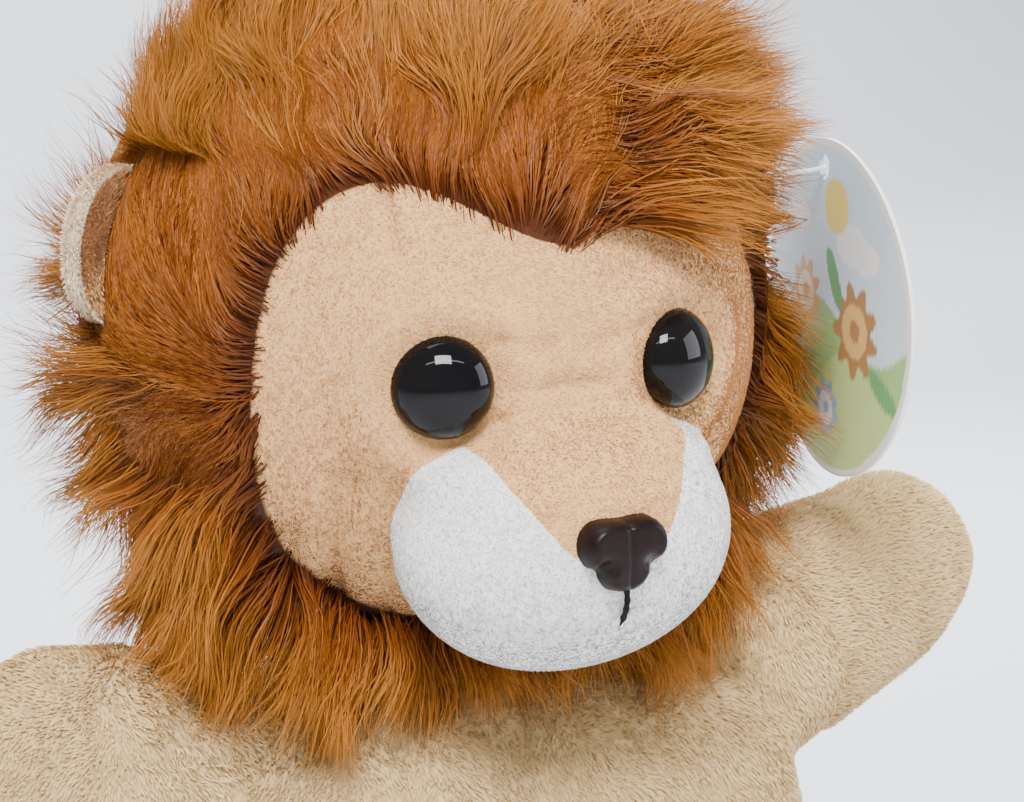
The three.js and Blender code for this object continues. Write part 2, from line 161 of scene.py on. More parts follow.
def make_floor():
    """A pale sheet that runs back and curves up behind the puppet."""
    back, rise, wide, front = 2.6, 2.4, 4.0, -3.0
    radius, steps = 0.9, 12
    profile = [(front, 0.0), (back - radius, 0.0)]
    for step in range(1, steps + 1):
        turn = math.pi / 2 * step / steps
        profile.append((back - radius + radius * math.sin(turn), radius - radius * math.cos(turn)))
    profile.append((back, rise))
    vertices = [(x, y, z) for y, z in profile for x in (-wide, wide)]
    faces = [(2 * i, 2 * i + 1, 2 * i + 3, 2 * i + 2) for i in range(len(profile) - 1)]
    data = bpy.data.meshes.new("floor")
    data.from_pydata(vertices, [], faces)
    floor = bpy.data.objects.new("floor", data)
    bpy.context.collection.objects.link(floor)
    for polygon in data.polygons:
        polygon.use_smooth = True
    paper = bpy.data.materials.new("backdrop_paper")
    paper.use_nodes = True
    shader = paper.node_tree.nodes["Principled BSDF"]
    shader.inputs["Base Color"].default_value = (0.74, 0.77, 0.82, 1)
    shader.inputs["Roughness"].default_value = 0.9
    data.materials.append(paper)


make_camera()
make_lights()
make_floor()


# ---- Materials ----


class Material:
    """A node material with one Principled shader, and short ways to add nodes to it."""

    def __init__(self, name, roughness, sheen=0.0, specular=0.5):
        self.material = bpy.data.materials.new(name)
        self.material.use_nodes = True
        self.tree = self.material.node_tree
        self.shader = self.tree.nodes["Principled BSDF"]
        self.set("Roughness", roughness)
        self.set("Sheen Weight", sheen)
        self.set("Specular IOR Level", specular)

    def set(self, socket, value):
        self.shader.inputs[socket].default_value = value

    def node(self, kind, inputs=None, **settings):
        node = self.tree.nodes.new(kind)
        for name, value in settings.items():
            setattr(node, name, value)
        for name, value in (inputs or {}).items():
            if isinstance(value, bpy.types.NodeSocket):
                self.tree.links.new(value, node.inputs[name])
            else:
                node.inputs[name].default_value = value
        return node

    def position(self):
        return self.node("ShaderNodeTexCoord").outputs["Object"]

    def attribute(self, name, output="Fac"):
        return self.node("ShaderNodeAttribute", attribute_name=name).outputs[output]

    def noise(self, scale, detail=3.0, roughness=0.6):
        inputs = {"Vector": self.position(), "Scale": scale, "Detail": detail, "Roughness": roughness}
        return self.node("ShaderNodeTexNoise", inputs).outputs["Fac"]

    def ramp(self, factor, stops):
        node = self.node("ShaderNodeValToRGB", {"Fac": factor})
        elements = node.color_ramp.elements
        while len(elements) < len(stops):
            elements.new(0.5)
        for element, (place, colour) in zip(elements, stops):
            element.position = place
            element.color = (*colour, 1)
        return node.outputs["Color"]

    def multiply(self, first, second):
        node = self.node("ShaderNodeMix", data_type="RGBA", blend_type="MULTIPLY")
        for name, value in (("Factor", None), ("A", first), ("B", second)):
            entry = next(i for i in node.inputs if i.name == name and i.enabled)
            if value is None:
                entry.default_value = 1.0
            else:
                self.tree.links.new(value, entry)
        return next(o for o in node.outputs if o.enabled)

    def colour(self, socket):
        self.tree.links.new(socket, self.shader.inputs["Base Color"])

    def roughness(self, factor, low, high):
        node = self.node("ShaderNodeMapRange", {"Value": factor, "To Min": low, "To Max": high})
        self.tree.links.new(node.outputs["Result"], self.shader.inputs["Roughness"])

    def bump(self, height, distance, strength=1.0):
        node = self.node("ShaderNodeBump", {"Height": height, "Distance": distance, "Strength": strength})
        self.tree.links.new(node.outputs["Normal"], self.shader.inputs["Normal"])


def shade(colour, by):
    return tuple(min(1.0, channel * by) for channel in colour)


def pile_material(name, root, middle, tip, spread=0.2, roughness=0.6, sheen=0.12):
    """Fibres that run from root to tip colour, each a little lighter or darker than the next."""
    made = Material(name, roughness=roughness, sheen=sheen, specular=0.15)
    along = made.ramp(made.attribute("along"), [(0.0, root), (0.4, middle), (1.0, tip)])
    tones = [(0.0, (1 - spread,) * 3), (0.5, (1.0,) * 3), (1.0, (1 + spread * 0.3,) * 3)]
    varied = made.multiply(along, made.ramp(made.attribute("tone"), tones))
    patches = [(0.35, (0.93, 0.91, 0.89)), (0.65, (1.0, 1.0, 1.0))]
    made.colour(made.multiply(varied, made.ramp(made.noise(60.0), patches)))
    return made.material


def backing_material(name, colour):
    """The knitted cloth under a pile: matte, mottled and faintly ribbed."""
    made = Material(name, roughness=0.95, sheen=0.2, specular=0.15)
    made.colour(made.ramp(made.noise(420.0), [(0.3, shade(colour, 0.85)), (0.7, colour)]))
    made.bump(made.noise(1500.0, detail=2.0), 0.3 * MM, 0.6)
    return made.material


def head_backing_material(base, cheeks, fur_shade_colour):
    """The knitted cloth of the head: beige or white by which side of the cheek seam a point lies, and a
    near-black painted shade past the mane seam, for the shadow deep under the fur.
    """
    made = Material("head_backing", roughness=0.95, sheen=0.15, specular=0.12)
    mottle = made.ramp(made.noise(420.0), [(0.3, (0.85, 0.85, 0.85)), (0.7, (1.0, 1.0, 1.0))])
    dyed = made.ramp(made.attribute("past_cheek_seam"), [(0.49, base), (0.51, cheeks)])
    # Past the mane seam the cloth takes a dark painted shade, standing for the shadow under the fur.
    fur_shade_mask = made.ramp(made.attribute("past_mane_seam"), [(0.49, (0, 0, 0)), (0.51, (1, 1, 1))])
    under = made.node("ShaderNodeRGB")
    under.outputs[0].default_value = (*fur_shade_colour, 1)
    chosen = made.node("ShaderNodeMix", data_type="RGBA")
    sockets = {i.name: i for i in chosen.inputs if i.enabled}
    for name, source in (("Factor", fur_shade_mask), ("A", dyed), ("B", under.outputs[0])):
        made.tree.links.new(source, sockets[name])
    made.colour(made.multiply(next(o for o in chosen.outputs if o.enabled), mottle))
    made.bump(made.noise(1500.0, detail=2.0), 0.3 * MM, 0.6)
    return made.material


def plastic_material(name, dark, light, roughness, specular=0.5, grain=0.0):
    """Moulded plastic, with faint colour clouds and, if asked, a fine moulded grain."""
    made = Material(name, roughness=roughness, specular=specular)
    made.colour(made.ramp(made.noise(150.0), [(0.3, dark), (0.7, light)]))
    if grain:
        made.bump(made.noise(2500.0, detail=1.0), grain * MM, 0.5)
    return made.material


def thread_material(name, colour):
    made = Material(name, roughness=0.8, specular=0.1)
    made.colour(made.ramp(made.noise(2200.0), [(0.3, shade(colour, 0.5)), (0.7, shade(colour, 1.6))]))
    made.bump(made.noise(3000.0), 0.1 * MM, 0.5)
    return made.material


def satin_material():
    """Woven satin: fine ribs across the strip and a soft gloss."""
    made = Material("label_satin", roughness=0.4, sheen=0.3)
    wave = {"Vector": made.position(), "Scale": 900.0, "Distortion": 0.4}
    ribs = made.node("ShaderNodeTexWave", wave, bands_direction="Z").outputs["Fac"]
    made.colour(made.ramp(ribs, [(0.2, (0.8, 0.8, 0.78)), (0.8, (0.9, 0.9, 0.88))]))
    made.bump(ribs, 0.08 * MM, 0.5)
    return made.material


def fibre_material():
    """Loose white polyester filling."""
    made = Material("stuffing_fibre", roughness=0.9, sheen=0.5, specular=0.2)
    tufts = made.noise(500.0, detail=8.0, roughness=0.8)
    made.colour(made.ramp(tufts, [(0.3, (0.75, 0.75, 0.73)), (0.7, (0.92, 0.92, 0.9))]))
    made.bump(tufts, 1.0 * MM, 1.0)
    return made.material


BEIGE = (0.78, 0.45, 0.19)
WHITE = (0.93, 0.92, 0.91)
CREAM = (0.85, 0.7, 0.5)
GOLD = (0.23, 0.064, 0.006)
BODY = (0.68, 0.49, 0.24)

pile_beige = pile_material("beige_pile", shade(BEIGE, 0.9), BEIGE, shade(BEIGE, 1.1), spread=0.12)
pile_white = pile_material("white_pile", shade(WHITE, 0.88), WHITE, shade(WHITE, 1.08), spread=0.08)
pile_cream = pile_material("cream_pile", shade(CREAM, 0.8), CREAM, shade(CREAM, 1.15))
fur_gold = pile_material(
    "golden_fur", (0.06, 0.011, 0.001), GOLD, (0.43, 0.17, 0.024), spread=0.5, roughness=0.5, sheen=0.0
)
pile_body = pile_material("body_pile", shade(BODY, 0.85), BODY, shade(BODY, 1.08), spread=0.14)
cloth_beige = backing_material("beige_backing", shade(BEIGE, 0.92))
# The last colour is a painted shade for the cloth under the mane.
cloth_head = head_backing_material(shade(BEIGE, 0.92), shade(WHITE, 0.95), (0.06, 0.018, 0.005))
cloth_body = backing_material("body_backing", shade(BODY, 0.9))
cloth_cream = backing_material("cream_backing", shade(CREAM, 0.88))
black_plastic = plastic_material(
    "eye_plastic", (0.003, 0.003, 0.004), (0.006, 0.005, 0.005), 0.04, specular=0.2
)
nose_plastic = plastic_material(
    "nose_plastic", (0.007, 0.0035, 0.0035), (0.012, 0.006, 0.006), 0.36, specular=0.14, grain=0.02
)
clear_plastic = plastic_material("clear_plastic", (0.7, 0.7, 0.68), (0.82, 0.82, 0.8), 0.25)
washer_plastic = plastic_material(
    "washer_plastic", (0.75, 0.75, 0.72), (0.85, 0.85, 0.82), 0.45, grain=0.02
)
black_thread = thread_material("black_thread", (0.012, 0.01, 0.011))
label_satin = satin_material()
stuffing_fibre = fibre_material()

HIDDEN_LOOKS = {
    "head_stuffing": stuffing_fibre,
    "head_finger_pocket": cloth_beige,
    "nose_washer": washer_plastic,
    "eye_washer_left": washer_plastic,
    "eye_washer_right": washer_plastic,
}
for node, look in HIDDEN_LOOKS.items():
    hidden = frame["nodes"][node].data
    hidden.materials.clear()
    hidden.materials.append(look)


# ---- Meshes ----


def add_mesh(name, vertices, quads, material, body, triangles=()):
    """A smooth mesh of quads, and triangles if given, that rides on a body."""
    data = bpy.data.meshes.new(name)
    vertices = np.asarray(vertices, np.float32)
    data.vertices.add(len(vertices))
    data.vertices.foreach_set("co", vertices.ravel())
    quads = np.asarray(quads, np.int32).reshape(-1, 4)
    triangles = np.asarray(triangles, np.int32).reshape(-1, 3)
    corners = np.concatenate([quads.ravel(), triangles.ravel()]).astype(np.int32)
    data.loops.add(len(corners))
    data.loops.foreach_set("vertex_index", corners)
    quad_starts = np.arange(len(quads)) * 4
    triangle_starts = len(quads) * 4 + np.arange(len(triangles)) * 3
    starts = np.concatenate([quad_starts, triangle_starts]).astype(np.int32)
    data.polygons.add(len(starts))
    data.polygons.foreach_set("loop_start", starts)
    data.update(calc_edges=True)
    data.validate()
    data.polygons.foreach_set("use_smooth", np.ones(len(data.polygons), bool))
    made = bpy.data.objects.new(name, data)
    bpy.context.collection.objects.link(made)
    data.materials.append(material)
    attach(made, body)
    return made


def stands_for(node):
    """Hides the CAD node that a piece takes the place of."""
    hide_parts(node)


def store(piece, label, values, kind="FLOAT", field="value"):
    """Keeps a value for each point of a piece, which its material reads."""
    layer = piece.data.attributes.new(label, kind, "POINT")
    layer.data.foreach_set(field, values.astype(np.float32).ravel())


def full_turn(count):
    return np.linspace(0, 2 * math.pi, count, endpoint=False)


def unit(vectors):
    return vectors / np.maximum(np.linalg.norm(vectors, axis=-1, keepdims=True), 1e-12)


def smoothstep(value, low, high):
    share = np.clip((value - low) / (high - low), 0, 1)
    return share * share * (3 - 2 * share)


def tangent_to(normals, vectors):
    return unit(vectors - normals * np.sum(vectors * normals, axis=-1, keepdims=True))


def wavy(points, scale, seed):
    """Smooth values from about -1 to 1 that drift over space, made of a few crossed waves."""
    rng = np.random.default_rng(seed)
    total = np.zeros(points.shape[:-1])
    waves = 5
    for _ in range(waves):
        direction = unit(rng.normal(size=3))
        turns = 2 * math.pi / scale * rng.uniform(0.6, 1.4)
        total += np.sin(points @ direction * turns + rng.random() * 2 * math.pi)
    return total / waves * 1.6


class Surface:
    """A grid of points with its quads, from which fibres can be sown."""

    def __init__(self, points, wrap=True):
        rows, columns = points.shape[:2]
        self.points = points.reshape(-1, 3)
        spans = columns if wrap else columns - 1
        row, column = np.meshgrid(np.arange(rows - 1), np.arange(spans), indexing="ij")
        here, after = row * columns, (column + 1) % columns
        corners = [here + column, here + after, here + columns + after, here + columns + column]
        self.quads = np.stack(corners, -1).reshape(-1, 4)
        self.centres = self.points[self.quads].mean(1)
        across = self.points[self.quads[:, 2]] - self.points[self.quads[:, 0]]
        along = self.points[self.quads[:, 3]] - self.points[self.quads[:, 1]]
        facing = np.cross(across, along)
        self.areas = np.linalg.norm(facing, axis=1) / 2
        normals = np.zeros_like(self.points)
        for corner in range(4):
            np.add.at(normals, self.quads[:, corner], facing)
        self.normals = unit(normals)

    def sow(self, rng, keep, per_square_mm, within=None):
        """Random points and normals, spread evenly over the kept quads, and only where within() allows."""
        kept = np.flatnonzero(keep)
        areas = self.areas[kept]
        count = int(areas.sum() / MM**2 * per_square_mm)
        chosen = kept[rng.choice(len(kept), count, p=areas / areas.sum())]
        u, v = rng.random((2, count, 1))
        weights = ((1 - u) * (1 - v), u * (1 - v), u * v, (1 - u) * v)
        corners = self.quads[chosen]
        points = sum(w * self.points[corners[:, i]] for i, w in enumerate(weights))
        normals = unit(sum(w * self.normals[corners[:, i]] for i, w in enumerate(weights)))
        if within:
            allowed = within(points)
            points, normals = points[allowed], normals[allowed]
        return points, normals

    def everywhere(self):
        return np.ones(len(self.quads), bool)

    def piece(self, name, keep, material, body):
        used, packed = np.unique(self.quads[keep], return_inverse=True)
        return add_mesh(name, self.points[used], packed.reshape(-1, 4), material, body)

    def whole_piece(self, name, material, body):
        return self.piece(name, self.everywhere(), material, body)


def ribbons(name, lines, widths, across, tones, material, body):
    """One flat tapered ribbon for each centre line, pointed at its tip."""
    count, stations = lines.shape[:2]
    steps = stations - 1
    half = widths[:, :steps, None] / 2 * across[:, None]
    sides = np.stack([lines[:, :steps] - half, lines[:, :steps] + half], 2).reshape(count, -1, 3)
    vertices = np.concatenate([sides, lines[:, steps:]], 1)
    per = 2 * steps + 1
    rung = np.arange(steps - 1)[:, None] * 2 + np.array([0, 1, 3, 2])
    point = np.array([2 * steps - 2, 2 * steps - 1, 2 * steps])
    base = np.arange(count) * per
    quads = (base[:, None, None] + rung[None]).reshape(-1, 4)
    made = add_mesh(name, vertices.reshape(-1, 3), quads, material, body, base[:, None] + point)
    share = np.concatenate([np.repeat(np.arange(steps) / steps, 2), [1.0]])
    store(made, "along", np.tile(share, count))
    store(made, "tone", np.repeat(tones, per))
    return made


PILE_TAPER = np.array([1.0, 0.85, 0.0])


def short_pile(
    name, surface, keep, comb, material, seed, body, density, length, width, within=None, lie=1.0
):
    """Plush: short fibres that stand up and lean the way they were stroked.

    The density is fibres to a square millimetre, and length and width are in millimetres.
    """
    rng = np.random.default_rng(seed)
    roots, normals = surface.sow(rng, keep, density, within)
    count = len(roots)
    nap = wavy(roots, 9 * MM, seed + 1)[:, None]
    turned = wavy(roots, 14 * MM, seed + 2)[:, None]
    lean = comb(roots, normals)
    lean = lean + np.cross(normals, lean) * 0.5 * turned + 0.2 * rng.normal(size=(count, 3))
    lean = tangent_to(normals, lean)
    tall = length * MM * (0.8 + 0.3 * rng.random((count, 1)) + 0.1 * nap)
    rise = unit(normals + lean * (lie + 0.35 * nap) + 0.1 * rng.normal(size=(count, 3)))
    middle = roots + rise * tall * 0.5
    tip = middle + unit(rise + lean * 0.6) * tall * 0.5
    lines = np.stack([roots - normals * 0.15 * MM, middle, tip], 1)
    across = unit(np.cross(rise, normals) + 0.4 * rng.normal(size=(count, 3)))
    widths = width * MM * (0.75 + 0.5 * rng.random(count))[:, None] * PILE_TAPER
    # Tone differs at random, and also follows the nap: lighter where the pile lies flatter, a painted
    # light and shade of the nap patches.
    tones = np.clip(0.5 + 0.18 * rng.normal(size=count) + 0.22 * nap[:, 0], 0, 1)
    return ribbons(name, lines, widths, across, tones, material, body)


def tube(name, centres, radii, material, body, sides=10, twist=0.0):
    """A rod along a line of points, closed at both ends, with strands twisted round it if asked."""
    centres = np.asarray(centres)
    along = unit(np.gradient(centres, axis=0))
    hint = UP if abs(along[0][2]) < 0.9 else np.array([1.0, 0.0, 0.0])
    first = unit(np.cross(along, hint))
    second = np.cross(along, first)
    angle = np.arange(sides) / sides * 2 * math.pi
    steps = np.arange(len(centres))[:, None]
    strands = 1 - 0.22 * np.abs(np.sin(angle[None] - steps * twist)) if twist else 1.0
    reach = (np.asarray(radii)[:, None] * strands * np.ones((1, sides)))[..., None]
    rings = centres[:, None] + reach * (
        first[:, None] * np.cos(angle)[None, :, None] + second[:, None] * np.sin(angle)[None, :, None]
    )
    ends = np.stack([np.tile(centres[0], (sides, 1)), np.tile(centres[-1], (sides, 1))])
    closed = np.concatenate([ends[:1], rings, ends[1:]])
    return Surface(closed).whole_piece(name, material, body)


# ---- Head form ----


def ellipsoid_distance(points, centre, half):
    """Roughly how far a point is outside an ellipsoid."""
    scaled = (points - centre) / half
    reach = np.linalg.norm(scaled, axis=-1)
    slope = np.linalg.norm(scaled / half, axis=-1)
    return reach * (reach - 1) / np.maximum(slope, 1e-9)


def soft_union(first, second, softness):
    mixing = np.clip(0.5 + 0.5 * (second - first) / softness, 0, 1)
    return second * (1 - mixing) + first * mixing - softness * mixing * (1 - mixing)


def near_line(points, start, end, width):
    """1 on a straight line between two points, fading to 0 away from it."""
    run = end - start
    share = np.clip((points - start) @ run / (run @ run), 0, 1)
    gap = np.linalg.norm(points - (start + share[..., None] * run), axis=-1)
    return np.exp(-((gap / width) ** 2))


def on_face(x, up):
    """A point on the plain head form, by its distance from the middle and its height above the eyes."""
    place = np.array([x, EYE_LEVEL - HEAD_CENTRE[2] + up]) / HEAD_HALF[[0, 2]]
    y = HEAD_CENTRE[1] - HEAD_HALF[1] * math.sqrt(max(0.02, 1 - place @ place))
    return np.array([MIDDLE + x, y, EYE_LEVEL + up])


EYE_X = (eye_high[0] + eye_low[0]) / 2 - MIDDLE - 0.2 * MM
EYE_RADIUS = 7.5 * MM
EYE_HEIGHT = 5.2 * MM
EYE_SINK = 0.7 * MM  # how far the rim is pressed into the plush
EYE_TURN = math.radians(29)  # each eye looks a little sideways

# Folds pressed into the face: where each starts and ends beside and above the eyes, its width and depth.
FACE_FOLDS = {
    "cheek crease": ((31, -14), (26, -37), 2.4, 2.0),
    "outer cheek crease": ((36, -22), (30, -38), 1.8, 1.0),
    "dart": ((24, 29), (24, 19), 1.0, 1.6),
    "inner brow": ((4, 4), (11, 6), 1.8, 1.0),
    "bridge fold": ((-11, -6), (11, -6), 1.7, 0.7),
    "upper bridge fold": ((-9, -1), (8, -2), 1.4, 0.4),
    "brow fold": ((12, 13), (24, 12), 2.2, 0.7),
}


def head_field(points):
    """Distance outside the stuffed head: skull, muzzle, eye sockets and the folds of the cloth."""
    skull = ellipsoid_distance(points, HEAD_CENTRE, HEAD_HALF)
    muzzle = ellipsoid_distance(points, MUZZLE_CENTRE, MUZZLE_HALF)
    height = points[..., 2] - EYE_LEVEL
    across = np.abs(points[..., 0] - MIDDLE)
    on_bridge = np.exp(-((across / (12 * MM)) ** 2)) * smoothstep(height, -22 * MM, -8 * MM)
    field = soft_union(skull, muzzle, 2.5 * MM + 6 * MM * on_bridge)
    for side in SIDES.values():
        away = np.linalg.norm(points - on_face(side * EYE_X, 0), axis=-1)
        field = field + 1.2 * MM * np.exp(-((away / (8 * MM)) ** 2))
        field = field - 1.8 * MM * np.exp(-(((away - 12 * MM) / (3.8 * MM)) ** 2))
        for start, end, width, depth in FACE_FOLDS.values():
            start_point = on_face(side * start[0] * MM, start[1] * MM)
            end_point = on_face(side * end[0] * MM, end[1] * MM)
            field = field + depth * MM * near_line(points, start_point, end_point, width * MM)
    return field + 0.35 * MM * wavy(points, 26 * MM, 3)


def cast(origin, directions, field, nearest, farthest, steps=24):
    """How far each ray runs from inside a form to its surface."""
    near = np.full(directions.shape[:-1], nearest)
    beyond = np.full(directions.shape[:-1], farthest)
    for _ in range(steps):
        middle = (near + beyond) / 2
        inside = field(origin + directions * middle[..., None]) < 0
        near = np.where(inside, middle, near)
        beyond = np.where(inside, beyond, middle)
    return (near + beyond) / 2


HEAD_HEART = np.array([MIDDLE, HEAD_CENTRE[1] - 8 * MM, EYE_LEVEL - 4 * MM])
tilt_grid, spin_grid = np.meshgrid(np.linspace(0.0, math.pi, 230), full_turn(440), indexing="ij")
head_rays = np.stack(
    [
        np.sin(tilt_grid) * np.cos(spin_grid),
        -np.cos(tilt_grid),
        np.sin(tilt_grid) * np.sin(spin_grid),
    ],
    -1,
)
head_reach = cast(HEAD_HEART, head_rays, head_field, 15 * MM, 90 * MM)
head = Surface(HEAD_HEART + head_rays * head_reach[..., None])


def on_skin(x, z):
    """The point of the finished head straight in front of a place inside it."""
    inside = np.array([x, HEAD_CENTRE[1] - 25 * MM, z])
    return inside + FORWARD * cast(inside, FORWARD, head_field, 0.0, 60 * MM)


# ---- Regions of the head ----


def bezier(points, count=12):
    share = np.linspace(0, 1, count, endpoint=False)[:, None]
    start, pull_start, pull_end, end = (np.array(p) for p in points)
    return (
        start * (1 - share) ** 3
        + 3 * pull_start * share * (1 - share) ** 2
        + 3 * pull_end * share**2 * (1 - share)
        + end * share**3
    )


face_low, face_high = node_box("face_panel")
FACE_HALF = (face_high[0] - face_low[0]) / 2
FACE_TOP = face_high[2] - EYE_LEVEL
PEAK = 18.5 * MM
CHIN = -40 * MM
FACE_MIDDLE_UP = -5 * MM  # the middle that the edge is measured from


def face_edge_polar():
    """The face panel's heart-shaped edge as angle and distance from the point between the eyes."""
    lobe = 24 * MM
    half = [
        ((0, PEAK), (8 * MM, PEAK + MM), (16 * MM, FACE_TOP), (lobe, FACE_TOP)),
        ((lobe, FACE_TOP), (35 * MM, FACE_TOP), (FACE_HALF, 15 * MM), (FACE_HALF, -2 * MM)),
        ((FACE_HALF, -2 * MM), (FACE_HALF, -22 * MM), (30 * MM, CHIN), (0, CHIN)),
    ]
    edge = np.concatenate([bezier(stretch) for stretch in half])
    edge = np.concatenate([edge, edge[::-1] * np.array([-1, 1])])
    angle = np.arctan2(edge[:, 1] - FACE_MIDDLE_UP, edge[:, 0])
    distance = np.hypot(edge[:, 0], edge[:, 1] - FACE_MIDDLE_UP)
    order = np.argsort(angle)
    return angle[order], distance[order]


edge_angle, edge_distance = face_edge_polar()


def outside_face(points):
    """How far a point lies outside the face panel's edge, seen from the front."""
    x = points[..., 0] - MIDDLE
    up = points[..., 2] - EYE_LEVEL - FACE_MIDDLE_UP
    limit = np.interp(np.arctan2(up, x), edge_angle, edge_distance, period=2 * math.pi)
    behind = np.maximum(points[..., 1] - HEAD_CENTRE[1], 0)
    return np.where(behind > 0, 25 * MM + behind, np.hypot(x, up) - limit)


def outside_muzzle(points):
    skull = ellipsoid_distance(points, HEAD_CENTRE, HEAD_HALF)
    return ellipsoid_distance(points, MUZZLE_CENTRE, MUZZLE_HALF) - skull


NOSE_LEVEL = (nose_low[2] + nose_high[2]) / 2
NOSE_WIDTH = nose_high[0] - nose_low[0]
NOSE_HEIGHT = nose_high[2] - nose_low[2]
BRIDGE_TOP = EYE_LEVEL - 8 * MM


def beside_bridge(points):
    """How far a point lies outside the beige strip that narrows from the eyes to the nose."""
    height = points[..., 2]
    share = np.clip((height - NOSE_LEVEL) / (BRIDGE_TOP - NOSE_LEVEL), 0, 1.3)
    half = NOSE_WIDTH * 0.5 + 10.5 * MM * share**0.8
    sideways = np.abs(points[..., 0] - MIDDLE) - half
    return np.maximum(sideways, NOSE_LEVEL - height)


MANE, FACE, BRIDGE, CHEEKS, NECK_HOLE = range(5)


def region_of(points):
    """Which panel covers each point of the head."""
    region = np.where(outside_face(points) < 0, FACE, MANE)
    in_muzzle = outside_muzzle(points) < 0
    region = np.where(in_muzzle, np.where(beside_bridge(points) < 0, BRIDGE, CHEEKS), region)
    return np.where(np.linalg.norm(points - NECK, axis=-1) < NECK_RADIUS + MM, NECK_HOLE, region)


head_regions = region_of(head.centres)
corner_regions = region_of(head.points)[head.quads]


def head_cloth(name, chosen):
    """A cloth piece of the head that knows how far each point lies past the two seams."""
    piece = head.piece(name, chosen, cloth_head, "head")
    points = head.points[np.unique(head.quads[chosen])]
    past_cheek = np.minimum(-outside_muzzle(points), beside_bridge(points))
    past_mane = np.minimum(outside_face(points), outside_muzzle(points))
    for label, distance in (("past_cheek_seam", past_cheek), ("past_mane_seam", past_mane)):
        store(piece, label, (0.5 + distance / (20 * MM)).clip(0, 1))
    return piece


def touches(region):
    """The quads with at least one corner in a region."""
    return (corner_regions == region).any(1)


def eye_gap(points):
    gaps = [np.linalg.norm(points - on_face(side * EYE_X, 0), axis=-1) for side in SIDES.values()]
    return np.minimum(*gaps)


def nose_gap(points):
    across = (points[..., 0] - MIDDLE) / (NOSE_WIDTH / 2)
    up = (points[..., 2] - NOSE_LEVEL) / (NOSE_HEIGHT / 2)
    return np.where(points[..., 1] < MUZZLE_CENTRE[1], np.hypot(across, up), 9.0)


def comb_face(points, normals):
    """The face pile is stroked outwards from the bridge and a little down."""
    from_middle = points - np.array([MIDDLE, MUZZLE_CENTRE[1], EYE_LEVEL - 12 * MM])
    return tangent_to(normals, unit(from_middle) + 0.5 * DOWN)


def comb_cheeks(points, normals):
    from_nose = points - np.array([MIDDLE, NOSE_FACE, NOSE_LEVEL + 4 * MM])
    return tangent_to(normals, unit(from_nose) + 0.4 * DOWN)


def comb_bridge(points, normals):
    from_eyes = points - np.array([MIDDLE, 0, EYE_LEVEL])
    return tangent_to(normals, UP + 0.3 * unit(from_eyes))


def comb_down(points, normals):
    return tangent_to(normals, np.tile(DOWN, (len(points), 1)))


SKIN_PANELS = {
    "face_panel": (FACE, pile_beige, comb_face, "beige_plush"),
    "muzzle_bridge": (BRIDGE, pile_beige, comb_bridge, "beige_plush"),
    "muzzle_cheeks": (CHEEKS, pile_white, comb_cheeks, "white_plush"),
}


def make_face():
    for number, (node, (region, pile, comb, slot)) in enumerate(SKIN_PANELS.items()):
        skin = head_cloth(f"{node}_cloth", head_regions == region)
        stands_for(node)

        def within(points, panel=region):
            open_skin = (eye_gap(points) > 6.4 * MM) & (nose_gap(points) > 0.75)
            return open_skin & (region_of(points) == panel)

        fibres = short_pile(
            f"{node}_pile", head, touches(region), comb, pile, 10 + number * 5, "head",
            density=11.0, length=1.9, width=0.28, within=within, lie=1.5,
        )


make_face()


# ---- Eyes, nose and mouth ----


def dome_points(centre, outward, radius, height, rings=40, columns=72):
    """A dome that rises along its outward direction and tucks under at its rim."""
    outward = unit(np.array(outward))
    side = unit(np.cross(UP, outward))
    up = np.cross(outward, side)
    fall = np.linspace(0, math.radians(112), rings)[:, None, None]
    turn = full_turn(columns)[None, :, None]
    circle = side * np.cos(turn) + up * np.sin(turn)
    return centre + circle * radius * np.sin(fall) + outward * height * np.cos(fall)


def make_eyes():
    for name, side in SIDES.items():
        place = on_face(side * EYE_X, 0)
        outward = np.array([side * math.sin(EYE_TURN), -math.cos(EYE_TURN), 0.03])
        seat = place - unit(outward) * EYE_SINK
        dome = Surface(dome_points(seat, outward, EYE_RADIUS, EYE_HEIGHT))
        eye = dome.whole_piece(f"eye_dome_{name}", black_plastic, "head")
        stands_for(f"eye_{name}")


def closed_curve(points, per_span=10):
    """A smooth closed line through the points."""
    points = np.array(points, float)
    t = np.linspace(0, 1, per_span, endpoint=False)[:, None]
    spans = []
    for i in range(len(points)):
        a, b, c, d = (points[(i + k) % len(points)] for k in (-1, 0, 1, 2))
        bend = 2 * a - 5 * b + 4 * c - d
        twist = -a + 3 * b - 3 * c + d
        spans.append(0.5 * (2 * b + (c - a) * t + bend * t**2 + twist * t**3))
    return np.concatenate(spans)


# Half of the nose's outline, from the dip on top round one lobe to the point below.
# Each place is across and up from its middle, in half widths and half heights.
NOSE_EDGE = [
    (0, 0.87),
    (0.32, 0.89),
    (0.68, 0.84),
    (0.93, 0.56),
    (0.99, 0.15),
    (0.86, -0.2),
    (0.62, -0.38),
    (0.54, -0.62),
    (0.34, -0.9),
]


